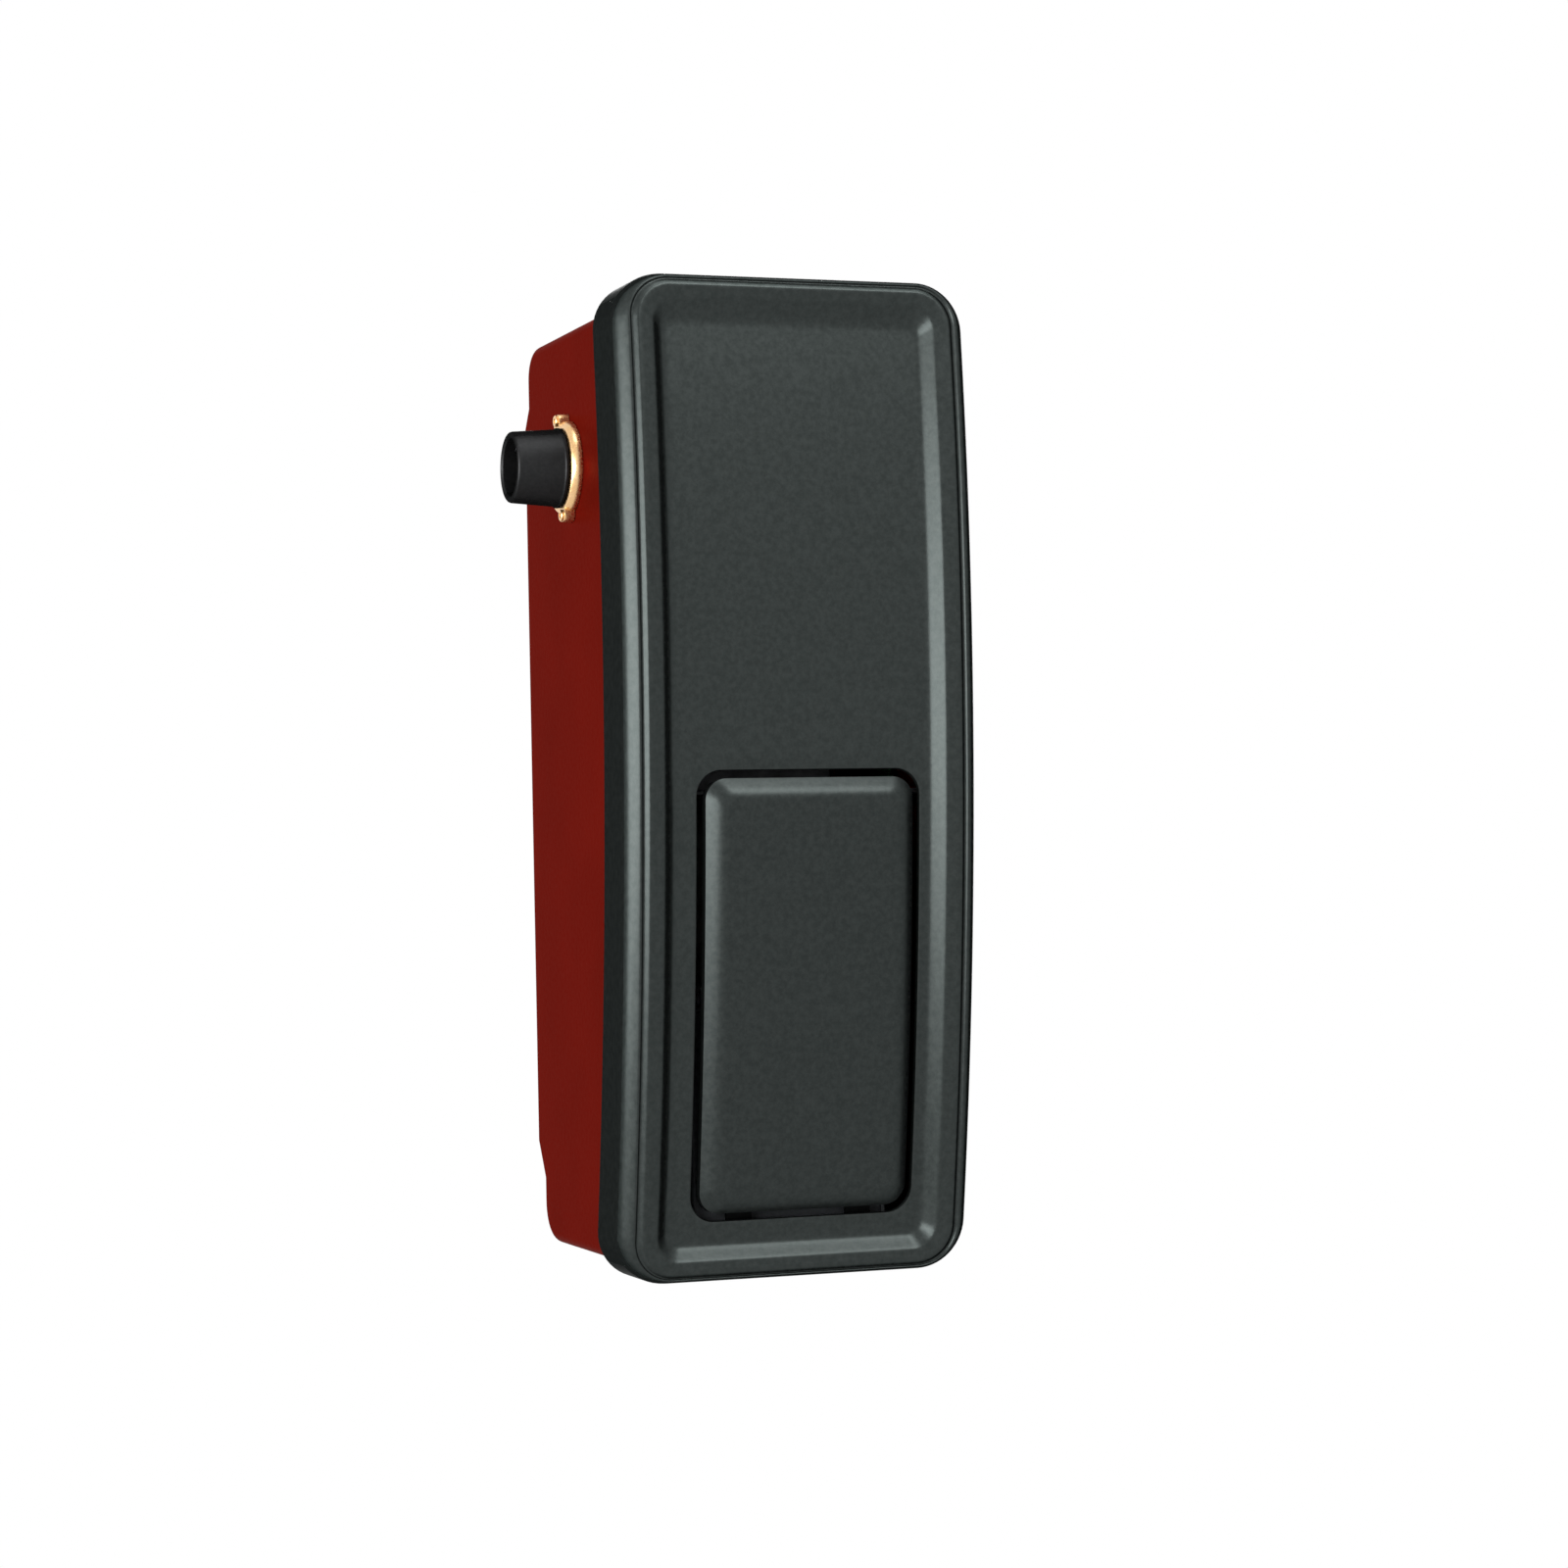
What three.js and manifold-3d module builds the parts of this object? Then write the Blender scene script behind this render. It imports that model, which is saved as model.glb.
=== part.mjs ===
// Jackshaft garage door opener: a motor unit that hangs on the torsion bar over a garage door and turns it.
// Millimetres. X runs along the torsion bar, Y points to the wall and Z is up.
// The origin is on the axis of the output shaft, midway between the two sides of the housing.

import * as THREE from 'three';
import { mergeVertices } from 'three/addons/utils/BufferGeometryUtils.js';
import Module from 'manifold-3d';

const wasm = await Module();
wasm.setup();

// Fits
const seatGap = 0.3; // between pieces that rest on each other
const runningGap = 0.2; // round what turns or slides
const overrun = 3; // how far a cut runs past the face that it opens
const weldDistance = 0.001;

// Steps round curves
const fineSides = 36;
const plainSides = 20;
const smallSides = 10;
const cornerSteps = 5;
const sideSteps = 10;
const filletSteps = 3;
const coilSteps = 12; // round one turn of a thread or a spring

// Front cover
const coverWidth = 162.5;
const coverHeight = 440;
const coverCorner = 22;
const coverSideDepth = 38; // from the crest of the rim back to the rear edge
const coverWall = 2.6;
const shaftToCoverTop = 76.7;
const crestTop = 85.2; // how far the crest lies in front of the shaft at the top, the middle and the bottom
const crestMiddle = 91.2;
const crestBottom = 64.1;
const rimSide = 25.2; // from the outside to the flat of the face, at the sides, the top and the bottom
const rimTop = 24;
const rimBottom = 21;
const faceRecess = 7.2;
const faceCorner = 4;

// The rim from the side wall to the face: the outer roll, a groove, a bead with its ledge, the slope down.
// Each row has a share of the side width, a share of the end width and a share of the recess.
const rimShares = [
  [0, 0, 1.25],
  [0.03, 0.013, 0.8],
  [0.11, 0.04, 0.39],
  [0.2, 0.085, 0.14],
  [0.265, 0.125, 0.23],
  [0.32, 0.175, 0.1],
  [0.39, 0.25, 0],
  [0.515, 0.365, 0.1],
  [0.605, 0.45, 0.19],
  [0.7, 0.555, 0.43],
  [0.83, 0.745, 0.87],
  [0.92, 0.85, 0.98],
  [1, 1, 1],
];
const innerRimRows = [0, 2, 6, 8, 10, 12]; // the rows that the inside of the rim follows

// Battery door
const doorWidth = 96.4;
const doorTopDrop = 220; // from the top of the cover to the top of the door
const doorBottomRise = 30; // from the bottom of the cover to the bottom of the door
const doorOffset = 3; // the door's centre lies this far to the right
const doorCorner = 9;
const doorGap = 3.4;
const doorProud = 6; // how far the door stands out of the face
const doorBevel = 9;
const doorDepth = 4; // how far its edge reaches behind the face
const doorWall = 2.4;
const hookWidth = 12;
const hookReach = 5;
const hookThickness = 2;
const hookSpread = 56;

// The door's edge from its side wall to its flat: share of the bevel, share of the height
const doorShares = [
  [0, 0.83],
  [0.12, 0.65],
  [0.28, 0.445],
  [0.5, 0.22],
  [0.75, 0.06],
  [1, 0],
];

// Rear housing
const coverGap = 0.35; // between the inside of the cover and the housing
const housingTopDrop = 13.3; // from the top of the cover to the top of the housing
const housingBottomRise = 9.3; // from the bottom of the cover to the bottom of the housing
const housingWall = 2.2;
const housingEdge = 5; // rounding along the side edges
const lapDepth = 26; // from the crest of the rim back to the front edge of the housing
const shaftToWall = 76.5;
const padHeight = 10.5; // how far the mounting pad stands out of the back
const padTopHeight = 7; // the same at its top, where the back comes out a little
const padTopDrop = 35.9; // from the top of the housing to the top of the pad
const padTopSlope = 9.1;
const padBottomRise = 45; // from the bottom of the housing to the bottom of the pad
const padBottomSlope = 16.7;
const backTopCorner = 15;
const backBottomCorner = 18;
const flangeDepth = 3;
const flangeSetIn = 1; // from the rear edge of the cover to the flange
const mountHoleRadius = 3.4;
const mountSpacingX = 100;
const mountHighDrop = 17.5; // from the top of the pad to the upper holes
const mountLowRise = 19; // from the bottom of the pad to the lower holes

// Screws
const screwShank = 1.5;
const screwHead = 2.8;
const screwHeadHeight = 2;
const screwSocket = 1.3;
const screwSocketDepth = 1.1;
const coverScrewInset = 26.25; // from the cover's side to the screws
const coverScrewLength = 14;
const coverBoss = 3;
const coverBossLength = 31;
const coverBossGap = 1; // from a boss to the housing's flange

// Output shaft and collar
const torsionBarRadius = 12.7;
const barGap = 0.3;
const shaftRadius = 16;
const shaftProud = 2.2; // how far it stands out of the right retainer
const driveSlotWidth = 6.5;
const driveSlotDepth = 4.5;
const collarLength = 23.2;
const collarRadius = 16.3;
const collarBase = 18.6;
const collarBaseLength = 4.6;
const collarFlare = 1.6;
const collarChamfer = 1.4;
const setScrewRadius = 3;
const setScrewInset = 8.8; // from the collar's end
const setScrewTilts = [45, -45]; // degrees above and below the line to the wall
const shoulderRadius = 19;
const shoulderLength = 4;
const keyWidth = 5;
const keyHeight = 2.5;
const keyRun = 12.4; // how far the keys reach to the left of the clutch ring

// Bearing retainers
const retainerThickness = 5;
const retainerInner = 16.8;
const retainerOuter = 21.3;
const earReach = 24.8;
const earWidth = 9;
const earScrew = 21.9;
const earTilt = 8; // degrees that the line through the ears leans back
const earScrewLength = 14;

// Bearing blocks and bushes
const bushOuter = 18.8;
const bushLength = 16;
const blockThickness = 17;
const blockHalf = 29;

// Worm drive
const wheelTeeth = 34;
const wheelModule = 2;
const wormPitchRadius = 9;
const wheelMiddle = 10; // X of the wheel's middle and of the worm's axis
const wheelWidth = 14;
const hubRadius = 25;
const hubLeft = -2;
const toothShare = 0.4; // of the pitch, at the pitch line
const wormToothShare = 0.36;
const addendumShare = 0.8; // of the module
const dedendumShare = 1.1;
const flankShare = 0.3; // how much a flank leans, as a share of its height
const wormTurns = 5;
const wormShaftRadius = 4;
const wormShaftTop = 44;

// Clutch
const dogWidth = 13;
const dogRadius = 19.2; // inside of the dogs
const dogHeight = 5.6;
const dogLength = 5;
const dogCount = 4;
const dogClearance = 0.6;
const ringLength = 14;
const ringRadius = 26;
const grooveDepth = 4;
const grooveWidth = 4.8;

// Gear bracket
const bracketPlate = 7;
const bracketLeft = -30;
const bracketRight = 44;
const bracketTop = 42;
const lugThickness = 8;
const upperLug = 32; // underside of the upper lug
const lowerLug = -54; // underside of the lower lug
const lugFront = 29;
const wormBushOuter = 7;

// Motor
const motorRadius = 30;
const motorLength = 82;
const motorWall = 1.6;
const motorCapThickness = 6;
const rotorRadius = 24;
const rotorInset = 15; // from either end of the can to the rotor
const motorScrewSpread = 36;

// Release mechanism
const forkThickness = 4;
const forkPivotDrop = 38; // from the shaft's axis down to the fork's pivot
const forkBore = 27.2;
const forkRim = 6;
const forkPin = 1.9;
const forkHubRadius = 6;
const pivotPinRadius = 2.5;
const armLength = 22; // from the fork's pivot to the release rod
const armThickness = 4;
const armWidth = 9;
const rodRadius = 2;
const rodPlay = 0.9; // round the rod in the fork's arm, and above and below the arm
const rodHead = 3.6;
const rodHeadHeight = 3;
const springRadius = 4.4; // to the middle of the wire
const springWire = 0.6;
const springTurns = 6;
const springLength = 30;
const springSides = 5;
const springSeat = 6;
const rodEyeGap = 2.9; // from the back of the battery tray to the rod's eye
const leverPivotRise = 14; // over the bottom of the housing
const leverArm = 12; // from the lever's pivot to the rod
const leverReach = 42; // from the lever's pivot to its far end
const leverWidth = 7;
const leverHeight = 5;
const leverHub = 5.5;
const leverTabDrop = 20;
const leverTabThickness = 4;
const ropeHoleRadius = 1.8;
const leverSlotLength = 26;
const leverSlotWidth = 10;

// Travel sensor
const sensorGearTeeth = 40;
const sensorPinionTeeth = 16;
const sensorModule = 1.2;
const sensorGearGap = 2.5; // from the gear to the sensor
const sensorGearWidth = 8;
const sensorAngle = 225; // degrees from the wall side, turning up
const sensorBoxSize = 20;
const sensorBoxThickness = 4;
const sensorStubRadius = 2.5;

// Electronics
const boardThickness = 1.6;
const boardMargin = 15.8; // from the side of the carrier to the board
const boardTopDrop = 15.4; // from the top of the housing to the board
const boardRise = 20; // from the roof of the battery tray to the board
const boardY = -66; // front of the logic board
const standoffRadius = 3;
const standoffHeight = 6;
const standoffInset = 6;
const carrierThickness = 2.5;
const carrierFoot = 10;
const relayWidth = 20;
const relayHeight = 27;
const relayDepth = 7;
const capacitorRadius = 9;
const capacitorLength = 26;

// Transformer
const coreWidth = 66;
const coreHeight = 54;
const coreDepth = 24;
const coreLimb = 11;
const coreMiddleY = -18;
const coilDepth = 44;

// Battery and its tray
const batteryWidth = 90;
const batteryDepth = 70;
const batteryHeight = 101;
const batteryGap = 4.5; // from the door's edge to the battery
const terminalWidth = 6.3;
const terminalThickness = 0.8;
const terminalHeight = 8;
const terminalSpread = 60;
const traySheet = 2;
const trayRoofGap = 5.1; // from the motor to the roof
const trayFloorRise = 9; // from the bottom of the housing to the floor
const trayInset = 4; // from the front of the battery to the tray

// Control panel on the right side
const panelWidth = 40;
const panelEnd = 6; // from the lamp to the end of the panel
const panelThickness = 2.2;
const panelY = 12;
const panelRise = 1.7; // from the roof of the battery tray to the panel
const panelCorner = 5;
const buttonRadius = 5;
const buttonStem = 3;
const buttonProud = 2;
const buttonTravel = 1.2;
const buttonSpacing = 20;
const buttonBoardGap = 4.2; // from the inside of the wall to the button board
const lampRadius = 2.5;
const lampProud = 1.2;
const terminalBlockWidth = 16;
const terminalBlockHeight = 44;
const terminalBlockProud = 6;
const terminalLip = 1.2;
const terminalBlockY = 36;
const terminalBlockGap = 22; // from the panel to the terminal block
const terminalCount = 4;
const wireHoleRadius = 2.4;
const wireHoleDepth = 8;

// Cord gland in the bottom
const glandX = 45;
const glandY = 30;
const glandRadius = 9;
const glandNeck = 6;
const glandBore = 3.6;
const glandDrop = 7.5;
const glandInside = 6;

// Places that follow from the sizes
const coverTop = shaftToCoverTop;
const coverBottom = coverTop - coverHeight;
const coverMiddle = (coverTop + coverBottom) / 2;
const housingHalf = coverWidth / 2 - coverWall - coverGap;
const housingInner = housingHalf - housingWall;
const housingTop = coverTop - housingTopDrop;
const housingBottom = coverBottom + housingBottomRise;
const backFace = shaftToWall - padHeight;
const backTopFace = shaftToWall - padTopHeight;
const padTop = housingTop - padTopDrop;
const padBottom = housingBottom + padBottomRise;
const doorTop = coverTop - doorTopDrop;
const doorBottom = coverBottom + doorBottomRise;
const retainerFace = housingHalf + retainerThickness;
const shaftRightEnd = retainerFace + shaftProud;
const shaftLeftEnd = -(retainerFace - seatGap);
const collarEnd = -(retainerFace + seatGap + collarLength);
const setScrewX = collarEnd + setScrewInset;
const wheelPitchRadius = (wheelTeeth * wheelModule) / 2;
const wormAxisY = wheelPitchRadius + wormPitchRadius;
const wormPitch = Math.PI * wheelModule;
const dogFace = hubLeft - dogLength;
const ringRight = dogFace - dogClearance;
const ringLeft = ringRight - ringLength;
const forkX = (ringLeft + ringRight) / 2;
const rodX = forkX - armLength;
const rodTop = -forkPivotDrop + armThickness / 2 + rodPlay;
const batteryFront = crestAt(doorBottom) + faceRecess + doorDepth + batteryGap;
const batteryBack = batteryFront + batteryDepth;
const trayFront = batteryFront + trayInset;
const trayBack = batteryBack + seatGap + traySheet;
const trayFloor = housingBottom + trayFloorRise;
const rodY = trayBack + rodEyeGap + rodHeadHeight + seatGap + leverWidth / 2;
const leverPivotX = rodX - leverArm;
const leverPivotZ = housingBottom + leverPivotRise;
const motorTop = lowerLug - seatGap;
const motorBottom = motorTop - motorLength;
const trayRoof = motorBottom - seatGap - motorCapThickness - trayRoofGap;
const boardTop = housingTop - boardTopDrop;
const boardBottom = trayRoof + boardRise;
const boardWidth = (housingInner - seatGap - boardMargin) * 2;
const sensorDistance = ((sensorGearTeeth + sensorPinionTeeth) * sensorModule) / 2;
const sensorY = sensorDistance * Math.cos(THREE.MathUtils.degToRad(sensorAngle));
const sensorZ = sensorDistance * Math.sin(THREE.MathUtils.degToRad(sensorAngle));
const topScrewZ = (housingTop + coverTop - coverWall) / 2;
const bottomScrewZ = (housingBottom + coverBottom + coverWall) / 2;
const sensorGearLeft = sensorBoxLeft() - sensorGearGap - sensorGearWidth;
const panelHeight = (buttonSpacing * 2 + panelEnd) * 2;
const panelZ = trayRoof + panelRise + panelHeight / 2;
const terminalBlockZ = panelZ - panelHeight / 2 - terminalBlockGap - terminalBlockHeight / 2;
const carrierBack = boardY + boardThickness + standoffHeight + carrierThickness;

// Y of the rim's crest at a height: the front is bowed and leans back towards the bottom.
function crestAt(z) {
  const t = (z - coverMiddle) / (coverHeight / 2);
  const lean = (crestTop - crestBottom) / 2;
  const bow = (crestTop + crestBottom) / 2 - crestMiddle;
  return -(crestMiddle + lean * t + bow * t * t);
}

// A closed geometry as a solid. An outline that runs the other way round gives a mesh that is inside out,
// so it is turned.
function solidOf(geometry) {
  const bare = geometry.clone();
  bare.deleteAttribute('normal');
  bare.deleteAttribute('uv');
  const merged = mergeVertices(bare, weldDistance);
  const vertProperties = merged.attributes.position.array;
  const triVerts = new Uint32Array(merged.index.array);
  const solid = new wasm.Manifold(new wasm.Mesh({ numProp: 3, vertProperties, triVerts }));
  if (solid.volume() > 0) {
    return solid;
  }
  for (let i = 0; i < triVerts.length; i += 3) {
    [triVerts[i + 1], triVerts[i + 2]] = [triVerts[i + 2], triVerts[i + 1]];
  }
  return new wasm.Manifold(new wasm.Mesh({ numProp: 3, vertProperties, triVerts }));
}

function geometryOf(solid) {
  const mesh = solid.getMesh();
  const geometry = new THREE.BufferGeometry();
  geometry.setAttribute('position', new THREE.BufferAttribute(mesh.vertProperties, mesh.numProp));
  geometry.setIndex(new THREE.BufferAttribute(mesh.triVerts, 1));
  const faceted = geometry.toNonIndexed();
  faceted.computeVertexNormals();
  return faceted;
}

// A box between two corners.
function block(low, high) {
  const size = high.map((value, i) => value - low[i]);
  const middle = high.map((value, i) => (value + low[i]) / 2);
  return solidOf(new THREE.BoxGeometry(...size).translate(...middle));
}

// Turns a geometry made about Y so that it lies along another axis, and moves it.
function along(geometry, axis, place) {
  if (axis === 'x') {
    geometry.rotateZ(-Math.PI / 2);
  }
  if (axis === 'z') {
    geometry.rotateX(Math.PI / 2);
  }
  return geometry.translate(...place);
}

// A round bar from one end to the other along an axis, with the other two coordinates in place.
function bar(radius, axis, from, to, place, sides) {
  const middle = (from + to) / 2;
  const at = { x: [middle, ...place], y: [place[0], middle, place[1]], z: [...place, middle] }[axis];
  return solidOf(along(new THREE.CylinderGeometry(radius, radius, Math.abs(to - from), sides), axis, at));
}

// Radius of a faceted bore that leaves a gap all round a shaft.
function boreRadius(shaft, gap, sides) {
  return (shaft + gap) / Math.cos(Math.PI / sides);
}

// A turned piece about the X axis from a closed outline of [x, radius].
function turnedX(outline, sides) {
  const points = [...outline, outline[0]].map(([x, radius]) => new THREE.Vector2(radius, x));
  return solidOf(along(new THREE.LatheGeometry(points, sides), 'x', [0, 0, 0]));
}

// A turned piece about a vertical axis from a closed outline of [z, radius].
function turnedZ(outline, sides, x, y) {
  const points = [...outline, outline[0]].map(([z, radius]) => new THREE.Vector2(radius, z));
  const geometry = new THREE.LatheGeometry(points, sides).rotateX(Math.PI / 2);
  return solidOf(geometry.translate(x, y, 0));
}

// A skin over rings of points, closed at both ends by the given triangles of one ring.
function loft(rings, cap) {
  const count = rings[0].length;
  const index = [];
  for (let r = 0; r < rings.length - 1; r += 1) {
    for (let i = 0; i < count; i += 1) {
      const a = r * count + i;
      const b = r * count + ((i + 1) % count);
      index.push(a, b, b + count, a, b + count, a + count);
    }
  }
  const last = (rings.length - 1) * count;
  for (const [a, b, c] of cap) {
    index.push(a, c, b, last + a, last + b, last + c);
  }
  const geometry = new THREE.BufferGeometry();
  geometry.setAttribute('position', new THREE.Float32BufferAttribute(rings.flat(2), 3));
  geometry.setIndex(index);
  return solidOf(geometry);
}

// Triangles between the left and right halves of an outline that runs down one side and up the other.
function stripCap(count) {
  const cap = [];
  for (let k = 0; k < count / 2 - 1; k += 1) {
    const far = count - 1 - k;
    cap.push([k, k + 1, far - 1], [k, far - 1, far]);
  }
  return cap;
}

function flatCap(outline) {
  return THREE.ShapeUtils.triangulateShape(
    outline.map(([u, v]) => new THREE.Vector2(u, v)),
    [],
  );
}

// A rounded rectangle in X and Z, down the right side and up the left, with stations along its sides.
function roundedOutline(centreX, halfWidth, top, bottom, radius) {
  const half = [];
  const straight = top - bottom - radius - radius;
  for (let i = 0; i <= cornerSteps; i += 1) {
    const angle = (Math.PI / 2) * (i / cornerSteps);
    half.push([halfWidth - radius + radius * Math.sin(angle), top - radius + radius * Math.cos(angle)]);
  }
  for (let i = 1; i < sideSteps; i += 1) {
    half.push([halfWidth, top - radius - straight * (i / sideSteps)]);
  }
  for (let i = 0; i <= cornerSteps; i += 1) {
    const angle = (Math.PI / 2) * (i / cornerSteps);
    half.push([halfWidth - radius + radius * Math.cos(angle), bottom + radius - radius * Math.sin(angle)]);
  }
  const right = half.map(([x, z]) => [centreX + x, z]);
  const left = half.map(([x, z]) => [centreX - x, z]).reverse();
  return [...right, ...left];
}

// An outline laid behind the bowed crest by a depth.
function behindCrest(outline, depth) {
  return outline.map(([x, z]) => [x, crestAt(z) + depth, z]);
}

// Moves each corner of a path to its left by a distance, keeping the edges parallel.
function offsetPath(path, distance, closed) {
  return path.map((point, i) => {
    const before = closed || i > 0 ? path[(i - 1 + path.length) % path.length] : null;
    const after = closed || i < path.length - 1 ? path[(i + 1) % path.length] : null;
    const normals = [];
    if (before) {
      normals.push(leftNormal(before, point));
    }
    if (after) {
      normals.push(leftNormal(point, after));
    }
    const first = normals[0];
    const second = normals[normals.length - 1];
    const stretch = distance / (1 + first[0] * second[0] + first[1] * second[1]);
    return [point[0] + (first[0] + second[0]) * stretch, point[1] + (first[1] + second[1]) * stretch];
  });
}

function leftNormal(from, to) {
  const du = to[0] - from[0];
  const dv = to[1] - from[1];
  const length = Math.hypot(du, dv);
  return [-dv / length, du / length];
}

// A gear blank's outline with trapezoid teeth in Y and Z, turned by an angle.
function gearOutline(teeth, module, share, turn) {
  const pitchRadius = (teeth * module) / 2;
  const tip = pitchRadius + module * addendumShare;
  const root = pitchRadius - module * dedendumShare;
  const halfPitch = (Math.PI * module * share) / 2;
  const tipHalf = (halfPitch - (tip - pitchRadius) * flankShare) / tip;
  const rootHalf = (halfPitch + (pitchRadius - root) * flankShare) / root;
  const outline = [];
  for (let i = 0; i < teeth; i += 1) {
    const middle = turn + (2 * Math.PI * i) / teeth;
    for (const [radius, half] of [[root, -rootHalf], [tip, -tipHalf], [tip, tipHalf], [root, rootHalf]]) {
      outline.push([radius * Math.cos(middle + half), radius * Math.sin(middle + half)]);
    }
  }
  return outline;
}

// A gear along X, whose teeth may wind round by an angle from one face to the other.
function gear(teeth, module, share, left, width, turn, wind) {
  const sides = wind === 0 ? [-1, 1] : [-1, 0, 1];
  const rings = sides.map((side) => {
    const outline = gearOutline(teeth, module, share, turn + (wind * side) / 2);
    return outline.map(([y, z]) => [left + (width * (1 + side)) / 2, y, z]);
  });
  return loft(rings, flatCap(gearOutline(teeth, module, share, turn)));
}

// Front cover
function rimRing(row, shift) {
  const [sideShare, endShare, depthShare] = rimShares[row];
  const [inset, deeper] = shift;
  const outline = roundedOutline(
    0,
    coverWidth / 2 - rimSide * sideShare - inset,
    coverTop - rimTop * endShare - inset,
    coverBottom + rimBottom * endShare + inset,
    Math.max(coverCorner * (1 - sideShare) + faceCorner * sideShare - inset, faceCorner / 2),
  );
  return behindCrest(outline, faceRecess * depthShare + deeper);
}

function coverOuter() {
  const rear = rimRing(0, [0, coverSideDepth - faceRecess * rimShares[0][2]]);
  const rings = [rear, ...rimShares.map((_, row) => rimRing(row, [0, 0]))];
  return loft(rings, stripCap(rear.length));
}

function coverCavity() {
  const path = innerRimRows.map((row) => [rimSide * rimShares[row][0], faceRecess * rimShares[row][2]]);
  const inner = offsetPath([[0, coverSideDepth], ...path], coverWall, false);
  const shifts = path.map((point, i) => [inner[i + 1][0] - point[0], inner[i + 1][1] - point[1]]);
  const rear = rimRing(0, [coverWall, coverSideDepth + overrun - faceRecess * rimShares[0][2]]);
  const rings = [rear, ...innerRimRows.map((row, i) => rimRing(row, shifts[i]))];
  return loft(rings, stripCap(rear.length));
}

function doorOutline(grow) {
  return roundedOutline(
    doorOffset,
    doorWidth / 2 + grow,
    doorTop + grow,
    doorBottom - grow,
    doorCorner + grow,
  );
}

function coverScrewPlaces() {
  const side = coverWidth / 2 - coverScrewInset;
  return [-side, side].flatMap((x) => [[x, topScrewZ], [x, bottomScrewZ]]);
}

function frontCover() {
  const opening = doorOutline(doorGap);
  const cut = loft(
    [behindCrest(opening, -overrun), behindCrest(opening, faceRecess + coverWall + overrun)],
    stripCap(opening.length),
  );
  let shell = coverOuter().subtract(coverCavity()).subtract(cut);
  for (const [x, z] of coverScrewPlaces()) {
    const back = crestAt(z) + flangeBack() - flangeDepth - coverBossGap;
    const boss = bar(coverBoss, 'y', back - coverBossLength, back, [x, z], smallSides);
    const hole = bar(
      boreRadius(screwShank, runningGap, smallSides),
      'y',
      back - coverScrewLength - overrun,
      back + overrun,
      [x, z],
      smallSides,
    );
    shell = shell.add(boss.intersect(coverOuter())).subtract(hole);
  }
  return shell;
}

// Battery door
function doorRing(share, depthShare, inset, deeper) {
  const outline = roundedOutline(
    doorOffset,
    doorWidth / 2 - doorBevel * share - inset,
    doorTop - doorBevel * share - inset,
    doorBottom + doorBevel * share + inset,
    Math.max(doorCorner - doorBevel * share - inset, doorWall / 2),
  );
  return behindCrest(outline, faceRecess - doorProud * (1 - depthShare) + deeper);
}

function batteryDoor() {
  const edge = doorDepth + doorProud * (1 - doorShares[0][1]);
  const outer = [doorRing(0, doorShares[0][1], 0, edge), ...doorShares.map(([a, b]) => doorRing(a, b, 0, 0))];
  const inner = [
    doorRing(0, doorShares[0][1], doorWall, edge + overrun),
    doorRing(0, doorShares[1][1], doorWall, doorWall),
    doorRing(doorShares[3][0], doorShares[3][1], doorWall, doorWall),
    doorRing(1, 0, doorWall, doorWall),
  ];
  const cap = stripCap(outer[0].length);
  let door = loft(outer, cap).subtract(loft(inner, cap));
  for (const side of [-1, 1]) {
    const x = doorOffset + (side * hookSpread) / 2;
    const left = x - hookWidth / 2;
    const right = x + hookWidth / 2;
    const face = crestAt(doorBottom) + faceRecess;
    const front = crestAt(doorBottom - hookReach) + faceRecess + coverWall + seatGap;
    const back = front + hookThickness;
    const hook = block([left, front, doorBottom - hookReach], [right, back, doorBottom + doorWall]);
    door = door.add(hook).add(block([left, face, doorBottom], [right, back, doorBottom + doorWall]));
  }
  return door;
}

// Rear housing
function arc(centreU, centreV, radius, fromTurn) {
  const points = [];
  for (let i = 0; i <= cornerSteps; i += 1) {
    const angle = (Math.PI / 2) * (fromTurn + i / cornerSteps);
    points.push([centreU + radius * Math.cos(angle), centreV + radius * Math.sin(angle)]);
  }
  return points;
}

// The housing seen from the side, in Y and Z: down the front edge, then round the bottom, back and top.
function housingOutline() {
  const front = [];
  for (let i = 0; i <= sideSteps; i += 1) {
    const z = housingTop - (housingTop - housingBottom) * (i / sideSteps);
    front.push([crestAt(z) + lapDepth, z]);
  }
  return [
    ...front,
    ...arc(backFace - backBottomCorner, housingBottom + backBottomCorner, backBottomCorner, -1),
    [backFace, padBottom - padBottomSlope],
    [shaftToWall, padBottom],
    [shaftToWall, padTop],
    [backTopFace, padTop + padTopSlope],
    ...arc(backTopFace - backTopCorner, housingTop - backTopCorner, backTopCorner, 0),
  ];
}

// The outline swept across the unit, with rounded side edges.
function sweptAcross(outline, half, edge) {
  const right = [];
  for (let i = 0; i <= filletSteps; i += 1) {
    const angle = (Math.PI / 2) * (i / filletSteps);
    const x = half - edge + edge * Math.cos(angle);
    right.push(offsetPath(outline, edge - edge * Math.sin(angle), true).map(([y, z]) => [x, y, z]));
  }
  const left = right.map((ring) => ring.map(([x, y, z]) => [-x, y, z])).reverse();
  return loft([...right, ...left], flatCap(outline));
}

function housingCavity() {
  const inner = offsetPath(housingOutline(), housingWall, true);
  const open = inner.map(([y, z], i) => (i <= sideSteps ? [y - lapDepth, z] : [y, z]));
  return sweptAcross(open, housingInner, housingEdge - housingWall);
}

function flangeBack() {
  return coverSideDepth - flangeSetIn;
}

function flangeOutline() {
  const gap = coverWall + coverGap;
  return roundedOutline(0, housingHalf, coverTop - gap, coverBottom + gap, coverCorner - gap);
}

function flange() {
  const outline = flangeOutline();
  const rings = [behindCrest(outline, flangeBack() - flangeDepth), behindCrest(outline, flangeBack())];
  return loft(rings, stripCap(outline.length));
}

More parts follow.
